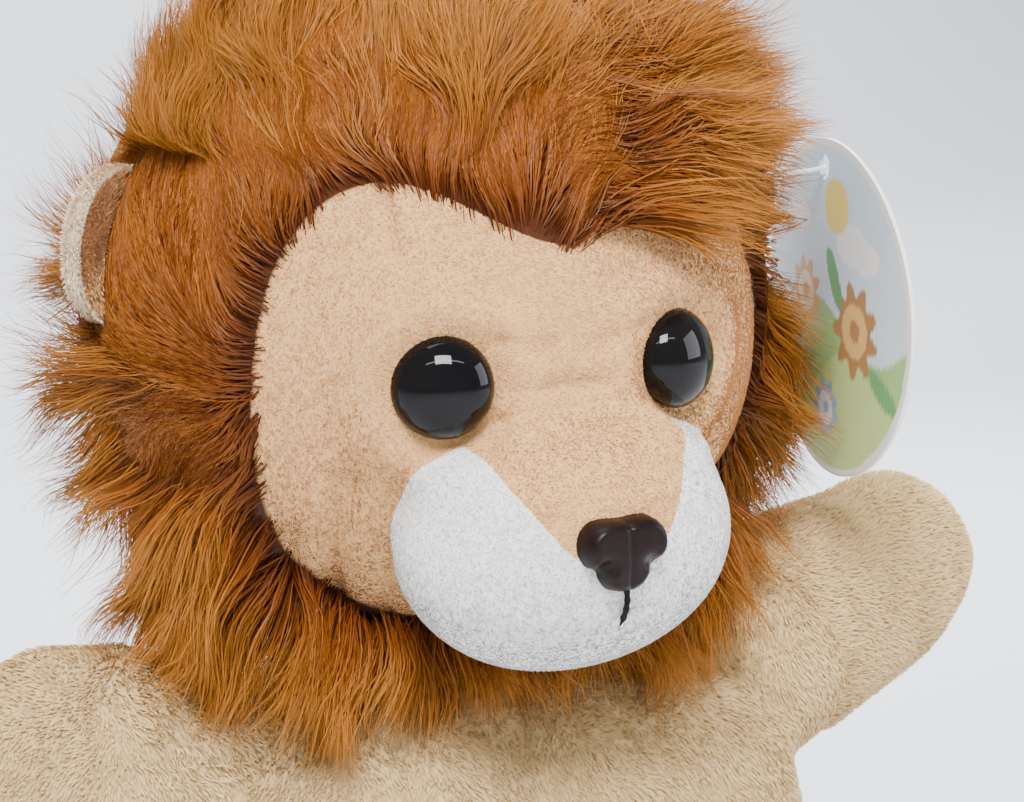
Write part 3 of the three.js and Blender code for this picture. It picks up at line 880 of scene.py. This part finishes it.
def make_nose():
    mirrored = [(-x, z) for x, z in reversed(NOSE_EDGE[1:])]
    edge = closed_curve(NOSE_EDGE + [(0, -1.0)] + mirrored)
    heart = np.array([0.0, 0.2])
    rings = np.linspace(0, 1, 30)[:, None, None]
    flat = heart + (edge - heart) * rings
    x = flat[..., 0] * NOSE_WIDTH / 2
    z = flat[..., 1] * NOSE_HEIGHT / 2
    depth = NOSE_FACE - nose_low[1]
    edge_x, edge_z = x[-1], z[-1]
    inside = np.hypot(x[..., None] - edge_x, z[..., None] - edge_z).min(-1)
    rounding = 1.5 * MM
    proud = depth * np.sqrt(1 - (1 - np.clip(inside / rounding, 0, 1)) ** 2)
    proud = proud - 0.25 * MM * np.exp(-((x / (0.4 * MM)) ** 2)) * (inside > 0.2 * MM)
    nostril = np.hypot((np.abs(x) - 3.7 * MM) / (1.5 * MM), (z + 1.2 * MM) / (1.1 * MM))
    proud = proud - 1.2 * MM * np.exp(-(nostril**2)) * smoothstep(inside, 0, 0.8 * MM)
    proud = proud - 0.8 * MM * smoothstep(-z, 0, NOSE_HEIGHT / 2)
    front = np.stack([MIDDLE + x, NOSE_FACE - proud, NOSE_LEVEL + z], -1)
    wall = front[-1:] * np.array([1, 0, 1]) + np.array([0, NOSE_FACE + 3 * MM, 0])
    nose = Surface(np.concatenate([front, wall])).whole_piece("nose_button", nose_plastic, "head")
    stands_for("nose")


def make_mouth():
    low, high = node_box("mouth_stitch")
    start, end = high[2] + 1.2 * MM, low[2]
    share = np.linspace(0, 1, 34)
    sway = 0.5 * MM * np.sin(share * math.pi) + 0.25 * MM
    centres = [on_skin(MIDDLE + s, start + (end - start) * t) for s, t in zip(sway, share)]
    centres = np.array(centres) + np.array([0, -1.1 * MM, 0])
    radii = 0.5 * MM * np.minimum(1, np.minimum(share * 9 + 0.4, (1 - share) * 5 + 0.15))
    stitch = tube("mouth_thread", centres, radii, black_thread, "head", sides=14, twist=0.45)
    stands_for("mouth_stitch")


make_eyes()
make_nose()
make_mouth()


# ---- Mane ----

EAR_TURN = math.radians(35)
EAR_LEAN = math.radians(8)


def ear_frame(name, side):
    """The ear's middle, its outward, facing and upward directions, and its radius."""
    low, high = node_box(f"ear_back_{name}")
    radius = (high[2] - low[2]) / 2 / math.cos(EAR_LEAN) * 0.96
    outward = np.array([side * math.cos(EAR_TURN), -math.sin(EAR_TURN), 0.0])
    facing = np.array([-side * math.sin(EAR_TURN), -math.cos(EAR_TURN), 0.0])
    up = UP * math.cos(EAR_LEAN) + facing * math.sin(EAR_LEAN)
    facing = np.cross(outward, up) * side
    tip = high[0] if side > 0 else low[0]
    centre = np.array([tip, low[1], (low[2] + high[2]) / 2]) - outward * radius
    return centre, outward, facing, up, radius


BACK_SEAM = node_box("mane_back")[0][1]
CROWN_EDGE, BEARD_EDGE = 42, 128  # degrees from straight up, seen from the front

# How the long pile was stroked, at each angle round the face: 0 is up, 90 is the lion's left.
STROKES = {
    -180: (0.0, -0.1, -1.0),
    -125: (-0.3, 0.1, -0.9),
    -95: (-0.3, 0.4, -0.45),
    -78: (-0.1, 0.3, 0.8),
    -50: (0.05, 0.25, 0.95),
    -20: (0.0, 0.15, 1.0),
    0: (0.5, -0.05, 0.6),
    22: (0.95, -0.12, -0.05),
    45: (0.85, -0.1, -0.4),
    65: (0.8, 0.15, -0.4),
    90: (0.65, 0.2, -0.65),
    130: (0.3, 0.1, -0.9),
    180: (0.0, -0.1, -1.0),
}


def round_the_face(points):
    """The angle round the face, in degrees, and the outward direction there."""
    x = points[:, 0] - MIDDLE
    up = points[:, 2] - EYE_LEVEL
    outward = unit(np.stack([x, np.zeros(len(points)), up], -1))
    return np.degrees(np.arctan2(x, up)), outward


def stroked(points):
    angle, _ = round_the_face(points)
    angles = list(STROKES)
    parts = [np.interp(angle, angles, [STROKES[a][axis] for a in angles]) for axis in range(3)]
    return np.stack(parts, -1)


def mane_directions(points, normals):
    """Which way each lock leaves the backing, and which way its tip points."""
    angle, outward = round_the_face(points)
    stroke = stroked(points)
    near_face = (1 - smoothstep(outside_face(points), 8 * MM, 40 * MM))[:, None]
    high = smoothstep(points[:, 2] - HEAD_CENTRE[2], 10 * MM, 36 * MM)[:, None]
    behind = smoothstep(points[:, 1] - HEAD_CENTRE[1], 0, 30 * MM)[:, None] * (1 - 0.8 * high)
    under = (smoothstep(np.abs(angle), 115, 150) * (points[:, 1] < HEAD_CENTRE[1]))[:, None]
    across = (points[:, 0] - MIDDLE) / HEAD_HALF[0]
    crest = unit(np.stack([0.18 + 0.15 * across, np.full(len(points), 0.12), np.ones(len(points))], -1))
    away = tangent_to(normals, outward * 0.3 + stroke * 0.7 + np.array([0.0, 0.3, 0.0]))
    downward = tangent_to(normals, np.tile(DOWN, (len(points), 1)) + 0.25 * away)
    start = normals * (0.85 + 0.35 * high) + away * 0.4
    start = start * (1 - high) + (normals * np.array([0.45, 0.9, 0.9]) + crest * 0.5) * high
    start = start * (1 - near_face) + (outward * 0.45 + normals * 0.6 + stroke * 0.5) * near_face
    start = start * (1 - behind) + (normals + downward * 0.45) * behind
    end = (away * 0.8 + 0.2 * normals) * (1 - high) + (crest + 0.15 * normals) * high
    end = stroke * near_face + end * (1 - near_face)
    end = end * (1 - behind) + (downward + 0.3 * normals) * behind
    forward_and_down = np.array([0.0, -0.85, -0.4]) + outward * np.array([0.4, 0.0, 0.0])
    start = start * (1 - under) + forward_and_down * under
    forelock = (np.exp(-(((angle - 28) / 22) ** 2)) * (points[:, 1] < HEAD_CENTRE[1]))[:, None] * near_face
    start = start * (1 - forelock) + np.array([0.75, -0.6, -0.1]) * forelock
    for name, side in SIDES.items():
        centre, *_ = ear_frame(name, side)
        gap = np.linalg.norm(points - centre, axis=1)
        flat = np.exp(-((gap / (24 * MM)) ** 2)) * smoothstep(points[:, 1] - centre[1], -2 * MM, 4 * MM)
        flat = flat[:, None]
        start = start * (1 - flat) + (normals * 0.3 + BACKWARD * 0.8) * flat
        end = end * (1 - flat) + (BACKWARD + 0.4 * DOWN) * flat
    return unit(start), unit(end)


def lock_lengths(points):
    """Long at the crown and the sides, short under the chin."""
    angle, _ = round_the_face(points)
    under = smoothstep(np.abs(angle), 145, 172) * (points[:, 1] < HEAD_CENTRE[1])
    high = smoothstep(points[:, 2] - HEAD_CENTRE[2], 10 * MM, 36 * MM)
    corners = np.exp(-(((np.abs(angle) - 45) / 20) ** 2))
    return (27 - 10 * under + 5 * high - 10 * corners) * MM


def parted_at_ears(lines):
    """Moves the fibres that would cross in front of an ear inwards, so that they frame its open side."""
    for name, side in SIDES.items():
        centre, outward, facing, up, radius = ear_frame(name, side)
        across, high, before = ((lines - centre) @ axis for axis in (outward, up, facing))
        edge = -11 * MM
        level = smoothstep(radius + 6 * MM - np.abs(high), 0, 10 * MM)
        near = level * smoothstep(before, -3 * MM, 0) * (1 - smoothstep(before, 16 * MM, 24 * MM))
        pulled = np.clip(across - edge, 0, None) * near
        forward = near * np.clip(2 * MM - before, 0, None) * (across > edge)
        lines = lines - pulled[..., None] * outward + forward[..., None] * facing
    return lines


def pushed_out(lines, clear=1.5 * MM):
    """Moves points that fell inside the head back out to just above its skin."""
    depth = clear - ellipsoid_distance(lines, HEAD_CENTRE, HEAD_HALF)
    outward = unit((lines - HEAD_CENTRE) / HEAD_HALF**2)
    lifted = lines + outward * np.clip(depth, 0, None)[..., None]
    lifted[:, 0] = lines[:, 0]
    return lifted


FUR_TAPER = np.array([1.0, 1.0, 0.95, 0.85, 0.7, 0.45, 0.0])


def in_mane(points):
    return region_of(points) == MANE


def long_pile(name, surface, keep, seed, locks_per_mm2=0.3, fibres=22):
    """Faux fur in loose locks: the fibres of a lock start apart and close up towards its tip."""
    rng = np.random.default_rng(seed)
    centres, normals = surface.sow(rng, keep, locks_per_mm2, in_mane)
    locks = len(centres)
    start, end = mane_directions(centres, normals)
    eddies = np.stack([wavy(centres, 26 * MM, 40 + axis) for axis in range(3)], -1)
    start = unit(start + 0.2 * eddies + 0.16 * rng.normal(size=(locks, 3)))
    end = unit(end + 0.32 * eddies + 0.2 * rng.normal(size=(locks, 3)))
    reach = lock_lengths(centres) * (0.78 + 0.34 * rng.random(locks))
    lock_tone = rng.random(locks)

    lock = np.repeat(np.arange(locks), fibres)
    count = len(lock)
    spread = 2.5 * MM * np.sqrt(rng.random((count, 1)))
    offset = tangent_to(normals[lock], rng.normal(size=(count, 3))) * spread
    stray = rng.random((count, 1)) < 0.1
    gather = np.where(stray, 0.0, 0.35 + 0.4 * rng.random((count, 1)))
    own = reach[lock][:, None] * (0.7 + 0.4 * rng.random((count, 1)))
    wander = rng.normal(size=(count, 3)) * np.where(stray, 0.3, 0.1)
    steps = len(FUR_TAPER) - 1
    line = [centres[lock] + offset]
    for step in range(steps):
        share = (step + 0.5) / steps
        bend = share**0.8
        curl = np.stack([wavy(line[-1], 17 * MM, 60 + axis) for axis in range(3)], -1) * 0.4
        sway = wander * share + DOWN * 0.12 * share + curl
        heading = unit(start[lock] * (1 - bend) + end[lock] * bend + sway)
        drawn_in = -offset * gather / steps
        line.append(line[-1] + heading * own / steps + drawn_in)
    lines = pushed_out(parted_at_ears(np.stack(line, 1)))
    direction = unit(lines[:, -1] - lines[:, 0])
    across = unit(np.cross(direction, normals[lock]) + 0.8 * rng.normal(size=(count, 3)))
    widths = 0.21 * MM * (0.7 + 0.6 * rng.random(count))[:, None] * FUR_TAPER
    tones = np.clip(0.6 * lock_tone[lock] + 0.4 * rng.random(count), 0, 1)
    return ribbons(name, lines, widths, across, tones, fur_gold, "head")


def mane_panels(points):
    """Which quads lie in each panel of long pile."""
    x = points[:, 0] - MIDDLE
    steep = np.degrees(np.arctan2(x, points[:, 2] - HEAD_CENTRE[2]))
    behind = points[:, 1] > BACK_SEAM
    crown = ~behind & (np.abs(steep) < CROWN_EDGE)
    beard = ~behind & (np.abs(steep) > BEARD_EDGE)
    flank = ~behind & ~crown & ~beard
    return {
        "mane_back": behind,
        "mane_crown": crown,
        "mane_beard": beard,
        "mane_side_left": flank & (x > 0),
        "mane_side_right": flank & (x <= 0),
    }


def make_mane():
    for number, (panel, chosen) in enumerate(mane_panels(head.centres).items()):
        backing = head_cloth(f"{panel}_backing", (head_regions == MANE) & chosen)
        stands_for(panel)
        halves = {"near": head.centres[:, 0] < MIDDLE, "far": head.centres[:, 0] >= MIDDLE}
        if panel.startswith("mane_side"):
            low_half = head.centres[:, 2] < HEAD_CENTRE[2]
            halves = {"low": low_half, "high": ~low_half}
        for half_number, (half, within) in enumerate(halves.items()):
            region = touches(MANE) & chosen & within
            fur = long_pile(f"{panel}_fur_{half}", head, region, 100 + number * 4 + half_number)


make_mane()


# ---- Ears ----


def ear_surface(name, side, back):
    """One cupped leaf, from its middle out to the rim. The back leaf rolls forward round the rim."""
    centre, outward, facing, up, radius = ear_frame(name, side)
    rings = np.linspace(0, 1, 34)[:, None]
    turn = full_turn(90)[None]
    reach = rings * (radius - (0 if back else 1.6 * MM))
    x, z = reach * np.cos(turn), reach * np.sin(turn) * (1 + 0.08 * np.cos(turn))
    cup = 1.2 * MM * rings**2
    fold = 1.6 * MM * np.exp(-(((x + 2 * MM + 0.35 * z) / (1.8 * MM)) ** 2)) * (1 - rings**2)
    shape = cup - fold
    if back:
        rolled = smoothstep(rings, 0.86, 1.0)
        x, z = x * (1 - 0.1 * rolled), z * (1 - 0.1 * rolled)
        shape = cup - 2.4 * MM * (1 - rolled) + 0.5 * MM * rolled
    points = x[..., None] * outward + z[..., None] * up + shape[..., None] * facing
    if (side > 0) != back:
        points = points[:, ::-1]
    return Surface(centre + points)


EAR_LEAVES = {
    "front": (cloth_beige, pile_beige, "beige_plush"),
    "back": (cloth_cream, pile_cream, "cream_plush"),
}


def make_ears():
    for name, side in SIDES.items():
        centre, *_ = ear_frame(name, side)
        for layer, (cloth, pile, slot) in EAR_LEAVES.items():
            back = layer == "back"
            leaf = ear_surface(name, side, back)
            outside = ellipsoid_distance(leaf.centres, HEAD_CENTRE, HEAD_HALF) > 0
            skin = leaf.piece(f"ear_{layer}_{name}_cloth", outside, cloth, "head")
            stands_for(f"ear_{layer}_{name}")

            def comb(points, normals, middle=centre):
                return tangent_to(normals, points - middle + 0.3 * DOWN * MM)

            fibres = short_pile(
                f"ear_{layer}_{name}_pile", leaf, outside, comb, pile, 300 + side + 10 * back, "head",
                density=16.0, length=1.3, width=0.24,
            )


make_ears()


# ---- Glove ----

glove_low, glove_high = node_box("glove_front")
GLOVE_TOP = glove_high[2]
GLOVE_HALF_X = (glove_high[0] - glove_low[0]) / 2
GLOVE_HALF_Y = node_box("glove_back")[1][1] - NECK[1]
SHOULDERS = {}
for shoulder in SIDES:
    joint = next(j for j in frame["joints"] if j["name"] == f"arm_{shoulder}_raise")
    SHOULDERS[shoulder] = np.array(joint["pos_m"])
SHOULDER_RADIUS = 18.6 * MM
GLOVE_COLUMNS = 360
BODY_PILE = {"density": 5.5, "length": 1.5, "width": 0.32}

# The glove's outline: height, half width and half depth, as shares of its top and of its hem.
GLOVE_OUTLINE = [
    (0.0, 1.0, 1.0),
    (0.2, 0.983, 0.974),
    (0.48, 0.966, 0.947),
    (0.72, 0.983, 0.947),
    (0.85, 0.949, 0.868),
    (0.92, 0.814, 0.737),
    (0.963, 0.627, 0.632),
    (0.988, 0.458, 0.553),
    (1.0, 0.339, 0.487),
]


def glove_section(height):
    """The plain glove's half width and half depth at a height."""
    heights, widths, depths = (np.array(column) for column in zip(*GLOVE_OUTLINE))
    share = np.clip(height / GLOVE_TOP, 0, 1)
    half_x = np.interp(share, heights, widths) * GLOVE_HALF_X
    half_y = np.interp(share, heights, depths) * GLOVE_HALF_Y
    return half_x, half_y


def glove_folds(points):
    """Soft upright folds that fan out from the neck and fade at the hem."""
    angle = np.arctan2(points[..., 1] - NECK[1], points[..., 0] - NECK[0])
    height = points[..., 2] / GLOVE_TOP
    drift = wavy(points * np.array([1, 1, 0.35]), 34 * MM, 71)
    fans = np.sin(angle * 7 + 1.3 + 1.6 * drift) * smoothstep(height, 0.15, 0.5)
    fans = fans * (1 - smoothstep(height, 0.9, 1.0))
    return 0.9 * MM * fans + 0.9 * MM * drift


def glove_field(points):
    """Distance outside the glove with its two rounded shoulders, measured across the glove."""
    half_x, half_y = glove_section(points[..., 2])
    x = (points[..., 0] - NECK[0]) / half_x
    y = (points[..., 1] - NECK[1]) / half_y
    reach = (np.abs(x) ** 2.4 + np.abs(y) ** 2.4) ** (1 / 2.4)
    field = (reach - 1) * half_y + glove_folds(points)
    for centre in SHOULDERS.values():
        field = soft_union(field, np.linalg.norm(points - centre, axis=-1) - SHOULDER_RADIUS, 4 * MM)
    seam = np.exp(-(((points[..., 1] - NECK[1]) / (0.9 * MM)) ** 2))
    return field + 0.8 * MM * seam


def glove_points(inwards=0.0):
    """Rows of points from the hem up, cast level at first and then tilting up over the shoulders."""
    turning_height = 0.86 * GLOVE_TOP
    level_rows, tilted_rows = 90, 90
    level = np.linspace(0, turning_height, level_rows)
    heights = np.concatenate([level, np.full(tilted_rows, turning_height)])
    tilts = np.concatenate([np.zeros(level_rows), np.linspace(0, math.radians(40), tilted_rows + 1)[1:]])
    height, turn = np.meshgrid(heights, full_turn(GLOVE_COLUMNS), indexing="ij")
    tilt = np.tile(tilts[:, None], (1, GLOVE_COLUMNS))
    flat = np.cos(tilt)
    rays = np.stack([np.cos(turn) * flat, np.sin(turn) * flat, np.sin(tilt)], -1)
    origins = np.stack([np.full_like(turn, NECK[0]), np.full_like(turn, NECK[1]), height], -1)
    reach = cast(origins, rays, glove_field, 5 * MM, 90 * MM) - inwards
    return origins + rays * np.maximum(reach, 2 * MM)[..., None]


def armhole_gap(points):
    """How far a point is from the nearer arm's own axis, for the holes under the sleeves."""
    gaps = []
    for name, centre in SHOULDERS.items():
        along = (points - centre) @ ARM_AXES[name]
        off_axis = np.linalg.norm(points - centre - along[..., None] * ARM_AXES[name], axis=-1)
        gaps.append(np.where(along > 0, off_axis, 1.0))
    return np.minimum(*gaps)


ARM_RAISE = {}
ARM_AXES = {}
for arm_name, arm_side in SIDES.items():
    arm_low, arm_high = node_box(f"arm_front_{arm_name}")
    arm_middle = (arm_low + arm_high) / 2 - SHOULDERS[arm_name]
    raised = math.atan2(arm_middle[2], abs(arm_middle[0]))
    ARM_RAISE[arm_name] = raised
    ARM_AXES[arm_name] = np.array([arm_side * math.cos(raised), 0.0, math.sin(raised)])


def make_glove():
    """Two panels with an inner face, a hem between the faces, and a passage into each arm."""
    outside_grid, inside_grid = glove_points(), glove_points(2.2 * MM)
    outside = Surface(outside_grid)
    inside = Surface(inside_grid[:, ::-1])
    hem_out, hem_in = outside_grid[0], inside_grid[0]
    rim = Surface(np.stack([hem_in, (hem_out + hem_in) / 2, hem_out]))
    passage = 6 * MM
    for layer, facing in (("front", -1), ("back", 1)):
        parts = []
        for surface in (outside, inside, rim):
            in_layer = (surface.centres[:, 1] - NECK[1]) * facing > 0
            parts.append((surface, in_layer & (armhole_gap(surface.centres) > passage)))
        points = np.concatenate([surface.points for surface, _ in parts])
        starts = np.cumsum([0] + [len(surface.points) for surface, _ in parts[:-1]])
        shifted = [surface.quads[keep] + start for (surface, keep), start in zip(parts, starts)]
        quads = np.concatenate(shifted)
        used, packed = np.unique(quads, return_inverse=True)
        faces = packed.reshape(-1, 4)
        cloth = add_mesh(f"glove_{layer}_cloth", points[used], faces, cloth_body, "glove")
        stands_for(f"glove_{layer}")
        seam_gap = np.abs(outside.centres[:, 1] - NECK[1]) > 0.5 * MM
        for half, side in SIDES.items():
            keep = parts[0][1] & seam_gap & ((outside.centres[:, 0] - NECK[0]) * side > 0)
            pile = short_pile(
                f"glove_{layer}_pile_{half}", outside, keep, comb_down, pile_body,
                400 + 10 * facing + side, "glove", **BODY_PILE,
            )


make_glove()


# ---- Neck, shoulders and arms ----


def ball_band(centre, radius, axis, start, end, rings=24, columns=90):
    """Part of a ball between two angles from an axis, in degrees."""
    axis = unit(np.array(axis, float))
    first = unit(np.cross(axis, BACKWARD))
    second = np.cross(axis, first)
    fall = np.radians(np.linspace(start, end, rings))[:, None, None]
    turn = full_turn(columns)[None, :, None]
    circle = first * np.cos(turn) + second * np.sin(turn)
    return centre + radius * (circle * np.sin(fall) + axis * np.cos(fall))


def make_neck():
    band = Surface(ball_band(NECK, NECK_RADIUS - 0.4 * MM, (0, 0, 1), 36, 125))
    cloth = band.whole_piece("neck_cloth", cloth_body, "neck")
    stands_for("neck_sleeve")
    pile = short_pile(
        "neck_pile", band, band.everywhere(), comb_down, pile_body, 500, "neck",
        density=3, length=1.6, width=0.4,
    )


# An arm's sections: distance out from the shoulder joint, half height and half depth, in millimetres.
# Its inner end is a ball round the joint, hidden in the glove, so no gap opens when the arm moves.
ARM_OUTLINE = [
    (-17, 0, 0),
    (-15, 9.5, 9),
    (-11, 14, 13),
    (-5, 17.4, 15.5),
    (2, 18.6, 16.4),
    (9, 19.4, 16.3),
    (17, 18.8, 15.3),
    (25, 17.6, 14.3),
    (34, 15.8, 13.2),
    (41, 13, 11.4),
    (45, 9.2, 8.6),
    (46.8, 4.6, 4.6),
    (47, 0, 0),
]


def arm_points(name, side):
    stations, heights, depths = (np.array(column) * MM for column in zip(*ARM_OUTLINE))
    share = np.linspace(0, 1, 130)
    order = np.linspace(0, 1, len(stations))
    along, height, depth = (smooth_interp(share, order, values) for values in (stations, heights, depths))
    turn = full_turn(150)
    axis = ARM_AXES[name]
    up = np.array([-side * math.sin(ARM_RAISE[name]), 0.0, math.cos(ARM_RAISE[name])])
    grid = (
        along[:, None, None] * axis
        + (height[:, None] * np.sin(turn))[..., None] * up
        + (depth[:, None] * np.cos(turn))[..., None] * BACKWARD
    )
    points = SHOULDERS[name] + grid
    outward = unit(points - SHOULDERS[name] - along[:, None, None] * axis)
    lumps = 0.8 * MM * wavy(points, 24 * MM, 81 + side)
    creases = np.sin(along / (3.6 * MM) + 1.1 * wavy(points, 20 * MM, 84 + side).T).T
    creases = -0.5 * MM * np.abs(creases) * (1 - smoothstep(along, 10 * MM, 28 * MM))[:, None]
    seam = -0.7 * MM * np.exp(-((np.cos(turn) * depth[:, None] / (0.9 * MM)) ** 2))
    swell = (lumps + creases + seam) * smoothstep(height, 0, 8 * MM)[:, None]
    points = points + outward * swell[..., None]
    return points if side > 0 else points[:, ::-1]


def smooth_interp(at, places, values):
    """Values read between rows, rounded off so that no row shows as an edge."""
    reach = 17
    fine = np.linspace(0, 1, 400)
    straight = np.interp(fine, places, values)
    before = 2 * straight[0] - straight[reach:0:-1]
    after = 2 * straight[-1] - straight[-2 : -reach - 2 : -1]
    kernel = np.hanning(2 * reach + 1)
    rounded = np.convolve(np.concatenate([before, straight, after]), kernel / kernel.sum(), "valid")
    return np.interp(at, fine, rounded)


def comb_along(axis):
    def comb(points, normals):
        return tangent_to(normals, np.tile(axis, (len(points), 1)) + 0.4 * DOWN)

    return comb


def make_arms():
    for name, side in SIDES.items():
        shoulder = SHOULDERS[name]
        axis = ARM_AXES[name]
        band = Surface(ball_band(shoulder, SHOULDER_RADIUS - 1.2 * MM, axis, 22, 92))
        collar = band.whole_piece(f"shoulder_cloth_{name}", cloth_body, f"shoulder_{name}")
        stands_for(f"shoulder_sleeve_{name}")
        arm = Surface(arm_points(name, side))
        for layer, facing in (("front", -1), ("back", 1)):
            keep = (arm.centres[:, 1] - shoulder[1]) * facing > 0
            cloth = arm.piece(f"arm_{layer}_{name}_cloth", keep, cloth_body, f"arm_{name}")
            stands_for(f"arm_{layer}_{name}")
            pile = short_pile(
                f"arm_{layer}_{name}_pile", arm, keep, comb_along(axis), pile_body,
                600 + 10 * facing + side, f"arm_{name}", **BODY_PILE,
            )


make_neck()
make_arms()


# ---- Hang tag, its fastener and the care label ----

tag_low, tag_high = node_box("hang_tag")
TAG_RADIUS = (tag_high[2] - tag_low[2]) / 2
TAG_CENTRE = (tag_low + tag_high) / 2
TAG_TURN = math.asin((tag_high[0] - tag_low[0] - 0.7 * MM) / (2 * TAG_RADIUS))
fastener_low, fastener_high = node_box("tag_fastener")
TAG_HOLE_UP = (fastener_low[2] + fastener_high[2]) / 2 - TAG_CENTRE[2]
TAG_HOLE = 2 * MM


def paint(colours, where, colour):
    colours[where] = colour


def card_artwork(u, v):
    """A made-up picture for the card, by millimetres from its middle: sky, sun, hills, flowers, border."""
    colours = np.empty((*u.shape, 3))
    sky = np.clip((v + 28) / 56, 0, 1)[..., None]
    colours[:] = (0.62, 0.8, 0.93) * sky + (0.8, 0.9, 0.96) * (1 - sky)
    for x, z, size in ((-14, 9, 4.5), (-9, 11, 5.5), (12, 15, 5)):
        paint(colours, np.hypot(u - x, (v - z) * 1.6) < size, (0.93, 0.95, 0.97))
    paint(colours, np.hypot(u + 4, v - 17) < 4.6, (0.93, 0.72, 0.2))
    paint(colours, v < -3 + 5 * np.sin(u * 0.13 + 0.6), (0.36, 0.62, 0.25))
    paint(colours, v < -11 + 4 * np.sin(u * 0.17 + 2.4), (0.55, 0.74, 0.3))
    flowers = (
        (-9, -3, 8.2, (0.46, 0.25, 0.1), (0.85, 0.55, 0.2)),
        (10, 2, 6.2, (0.75, 0.42, 0.14), (0.93, 0.82, 0.6)),
        (3, -17, 5.2, (0.3, 0.5, 0.75), (0.93, 0.93, 0.9)),
    )
    for x, z, size, petals, heart in flowers:
        angle = np.arctan2(v - z, u - x)
        away = np.hypot(u - x, v - z)
        paint(colours, away < size * (0.85 + 0.15 * np.cos(angle * 9)), petals)
        paint(colours, away < size * 0.55, heart)
        paint(colours, away < size * 0.22, petals)
    for x, z, tilt in ((-18, -12, 0.6), (17, -10, -0.7), (-2, 5, 1.2)):
        along = (u - x) * math.cos(tilt) + (v - z) * math.sin(tilt)
        across = (v - z) * math.cos(tilt) - (u - x) * math.sin(tilt)
        paint(colours, (along / 5.5) ** 2 + (across / 1.9) ** 2 < 1, (0.16, 0.42, 0.17))
    paint(colours, np.hypot(u, v) > TAG_RADIUS / MM - 1.3, (0.9, 0.9, 0.88))
    return colours


def card_material():
    made = Material("tag_card", roughness=0.45, specular=0.4)
    printed = made.attribute("print", "Color")
    flecks = made.ramp(made.noise(1800.0), [(0.3, (0.95, 0.95, 0.95)), (0.7, (1.0, 1.0, 1.0))])
    made.colour(made.multiply(printed, flecks))
    made.bump(made.noise(900.0), 0.03 * MM, 0.4)
    return made.material


def make_tag():
    """A round card with a punched hole, slightly bowed, printed on both faces."""
    turn = full_turn(200)
    hole = np.stack([np.cos(turn) * TAG_HOLE, TAG_HOLE_UP + np.sin(turn) * TAG_HOLE], -1)
    edge = np.stack([np.cos(turn), np.sin(turn)], -1) * TAG_RADIUS
    share = np.linspace(0, 1, 110)[:, None, None]
    flat = hole + (edge - hole) * share
    u, v = flat[..., 0], flat[..., 1]
    bow = 1.2 * MM * (u / TAG_RADIUS) ** 2 - 0.3 * MM * (v / TAG_RADIUS) ** 2
    across = np.array([math.sin(TAG_TURN), math.cos(TAG_TURN), 0.0])
    facing = np.array([math.cos(TAG_TURN), -math.sin(TAG_TURN), 0.0])
    middle = TAG_CENTRE + u[..., None] * across + v[..., None] * UP
    thickness = 0.35 * MM
    outer = middle + (bow + thickness)[..., None] * facing
    inner = middle + (bow - thickness)[..., None] * facing
    loop = np.concatenate([outer, inner[::-1], outer[:1]])
    grid = Surface(loop[:, ::-1])
    tag = grid.whole_piece("tag_card", card_material(), "tag")
    colours = card_artwork(u / MM, v / MM)
    rows = np.concatenate([colours, colours[::-1], colours[:1]])[:, ::-1].reshape(-1, 3)
    used = np.unique(grid.quads)
    opaque = np.concatenate([rows[used], np.ones((len(used), 1))], 1)
    store(tag, "print", opaque, "FLOAT_COLOR", "color")
    stands_for("hang_tag")


def make_fastener():
    """The clear plastic thread that holds the card, with its cross bar outside the hole."""
    stations, bar_stations = 40, 24
    middle = (fastener_low + fastener_high) / 2
    bar_radius = 0.55 * MM
    bar_x = fastener_high[0] - bar_radius
    start_x = fastener_low[0] - 3 * MM
    share = np.linspace(0, 1, stations)
    sag = -0.8 * MM * np.sin(share * math.pi)
    thread_x = start_x + share * (bar_x - start_x)
    thread = np.stack([thread_x, np.full(stations, middle[1]), middle[2] + sag], -1)
    radii = np.full(stations, 0.42 * MM)
    radii[-4:] = bar_radius
    piece = tube("tag_thread", thread, radii, clear_plastic, "head", sides=16)
    stands_for("tag_fastener")
    bar_y = middle[1] + np.linspace(-3.5, 3.5, bar_stations) * MM
    bar = np.stack([np.full(bar_stations, bar_x), bar_y, np.full(bar_stations, middle[2])], -1)
    from_end = np.minimum(share[:bar_stations], share[:bar_stations][::-1])
    rounding = bar_radius * np.minimum(1, np.sqrt(from_end * 12 + 0.1))
    cross = tube("tag_thread_bar", bar, rounding, clear_plastic, "head", sides=16)


def make_label():
    """A strip of satin folded in half, with both ends sewn into the side seam."""
    low, high = node_box("care_label")
    reach = high[1] - low[1]
    stations, rows = 41, 30
    share = np.linspace(-1, 1, stations)
    away = reach * (1 - np.abs(share) ** 2.4)
    x = low[0] + 0.9 * MM + 0.42 * MM * np.sign(share) * (1 - (1 - np.abs(share)) ** 2)
    curl = 0.5 * MM * (away / reach) ** 2
    heights = np.linspace(low[2], high[2], rows)
    grid = np.empty((stations, rows, 3))
    grid[..., 0] = (x + curl)[:, None]
    grid[..., 1] = (low[1] + away)[:, None]
    grid[..., 2] = heights[None] + 0.3 * MM * np.sin(share * 3)[:, None]
    label = Surface(grid, wrap=False).whole_piece("care_label_strip", label_satin, "glove")
    stands_for("care_label")


make_tag()
make_fastener()
make_label()
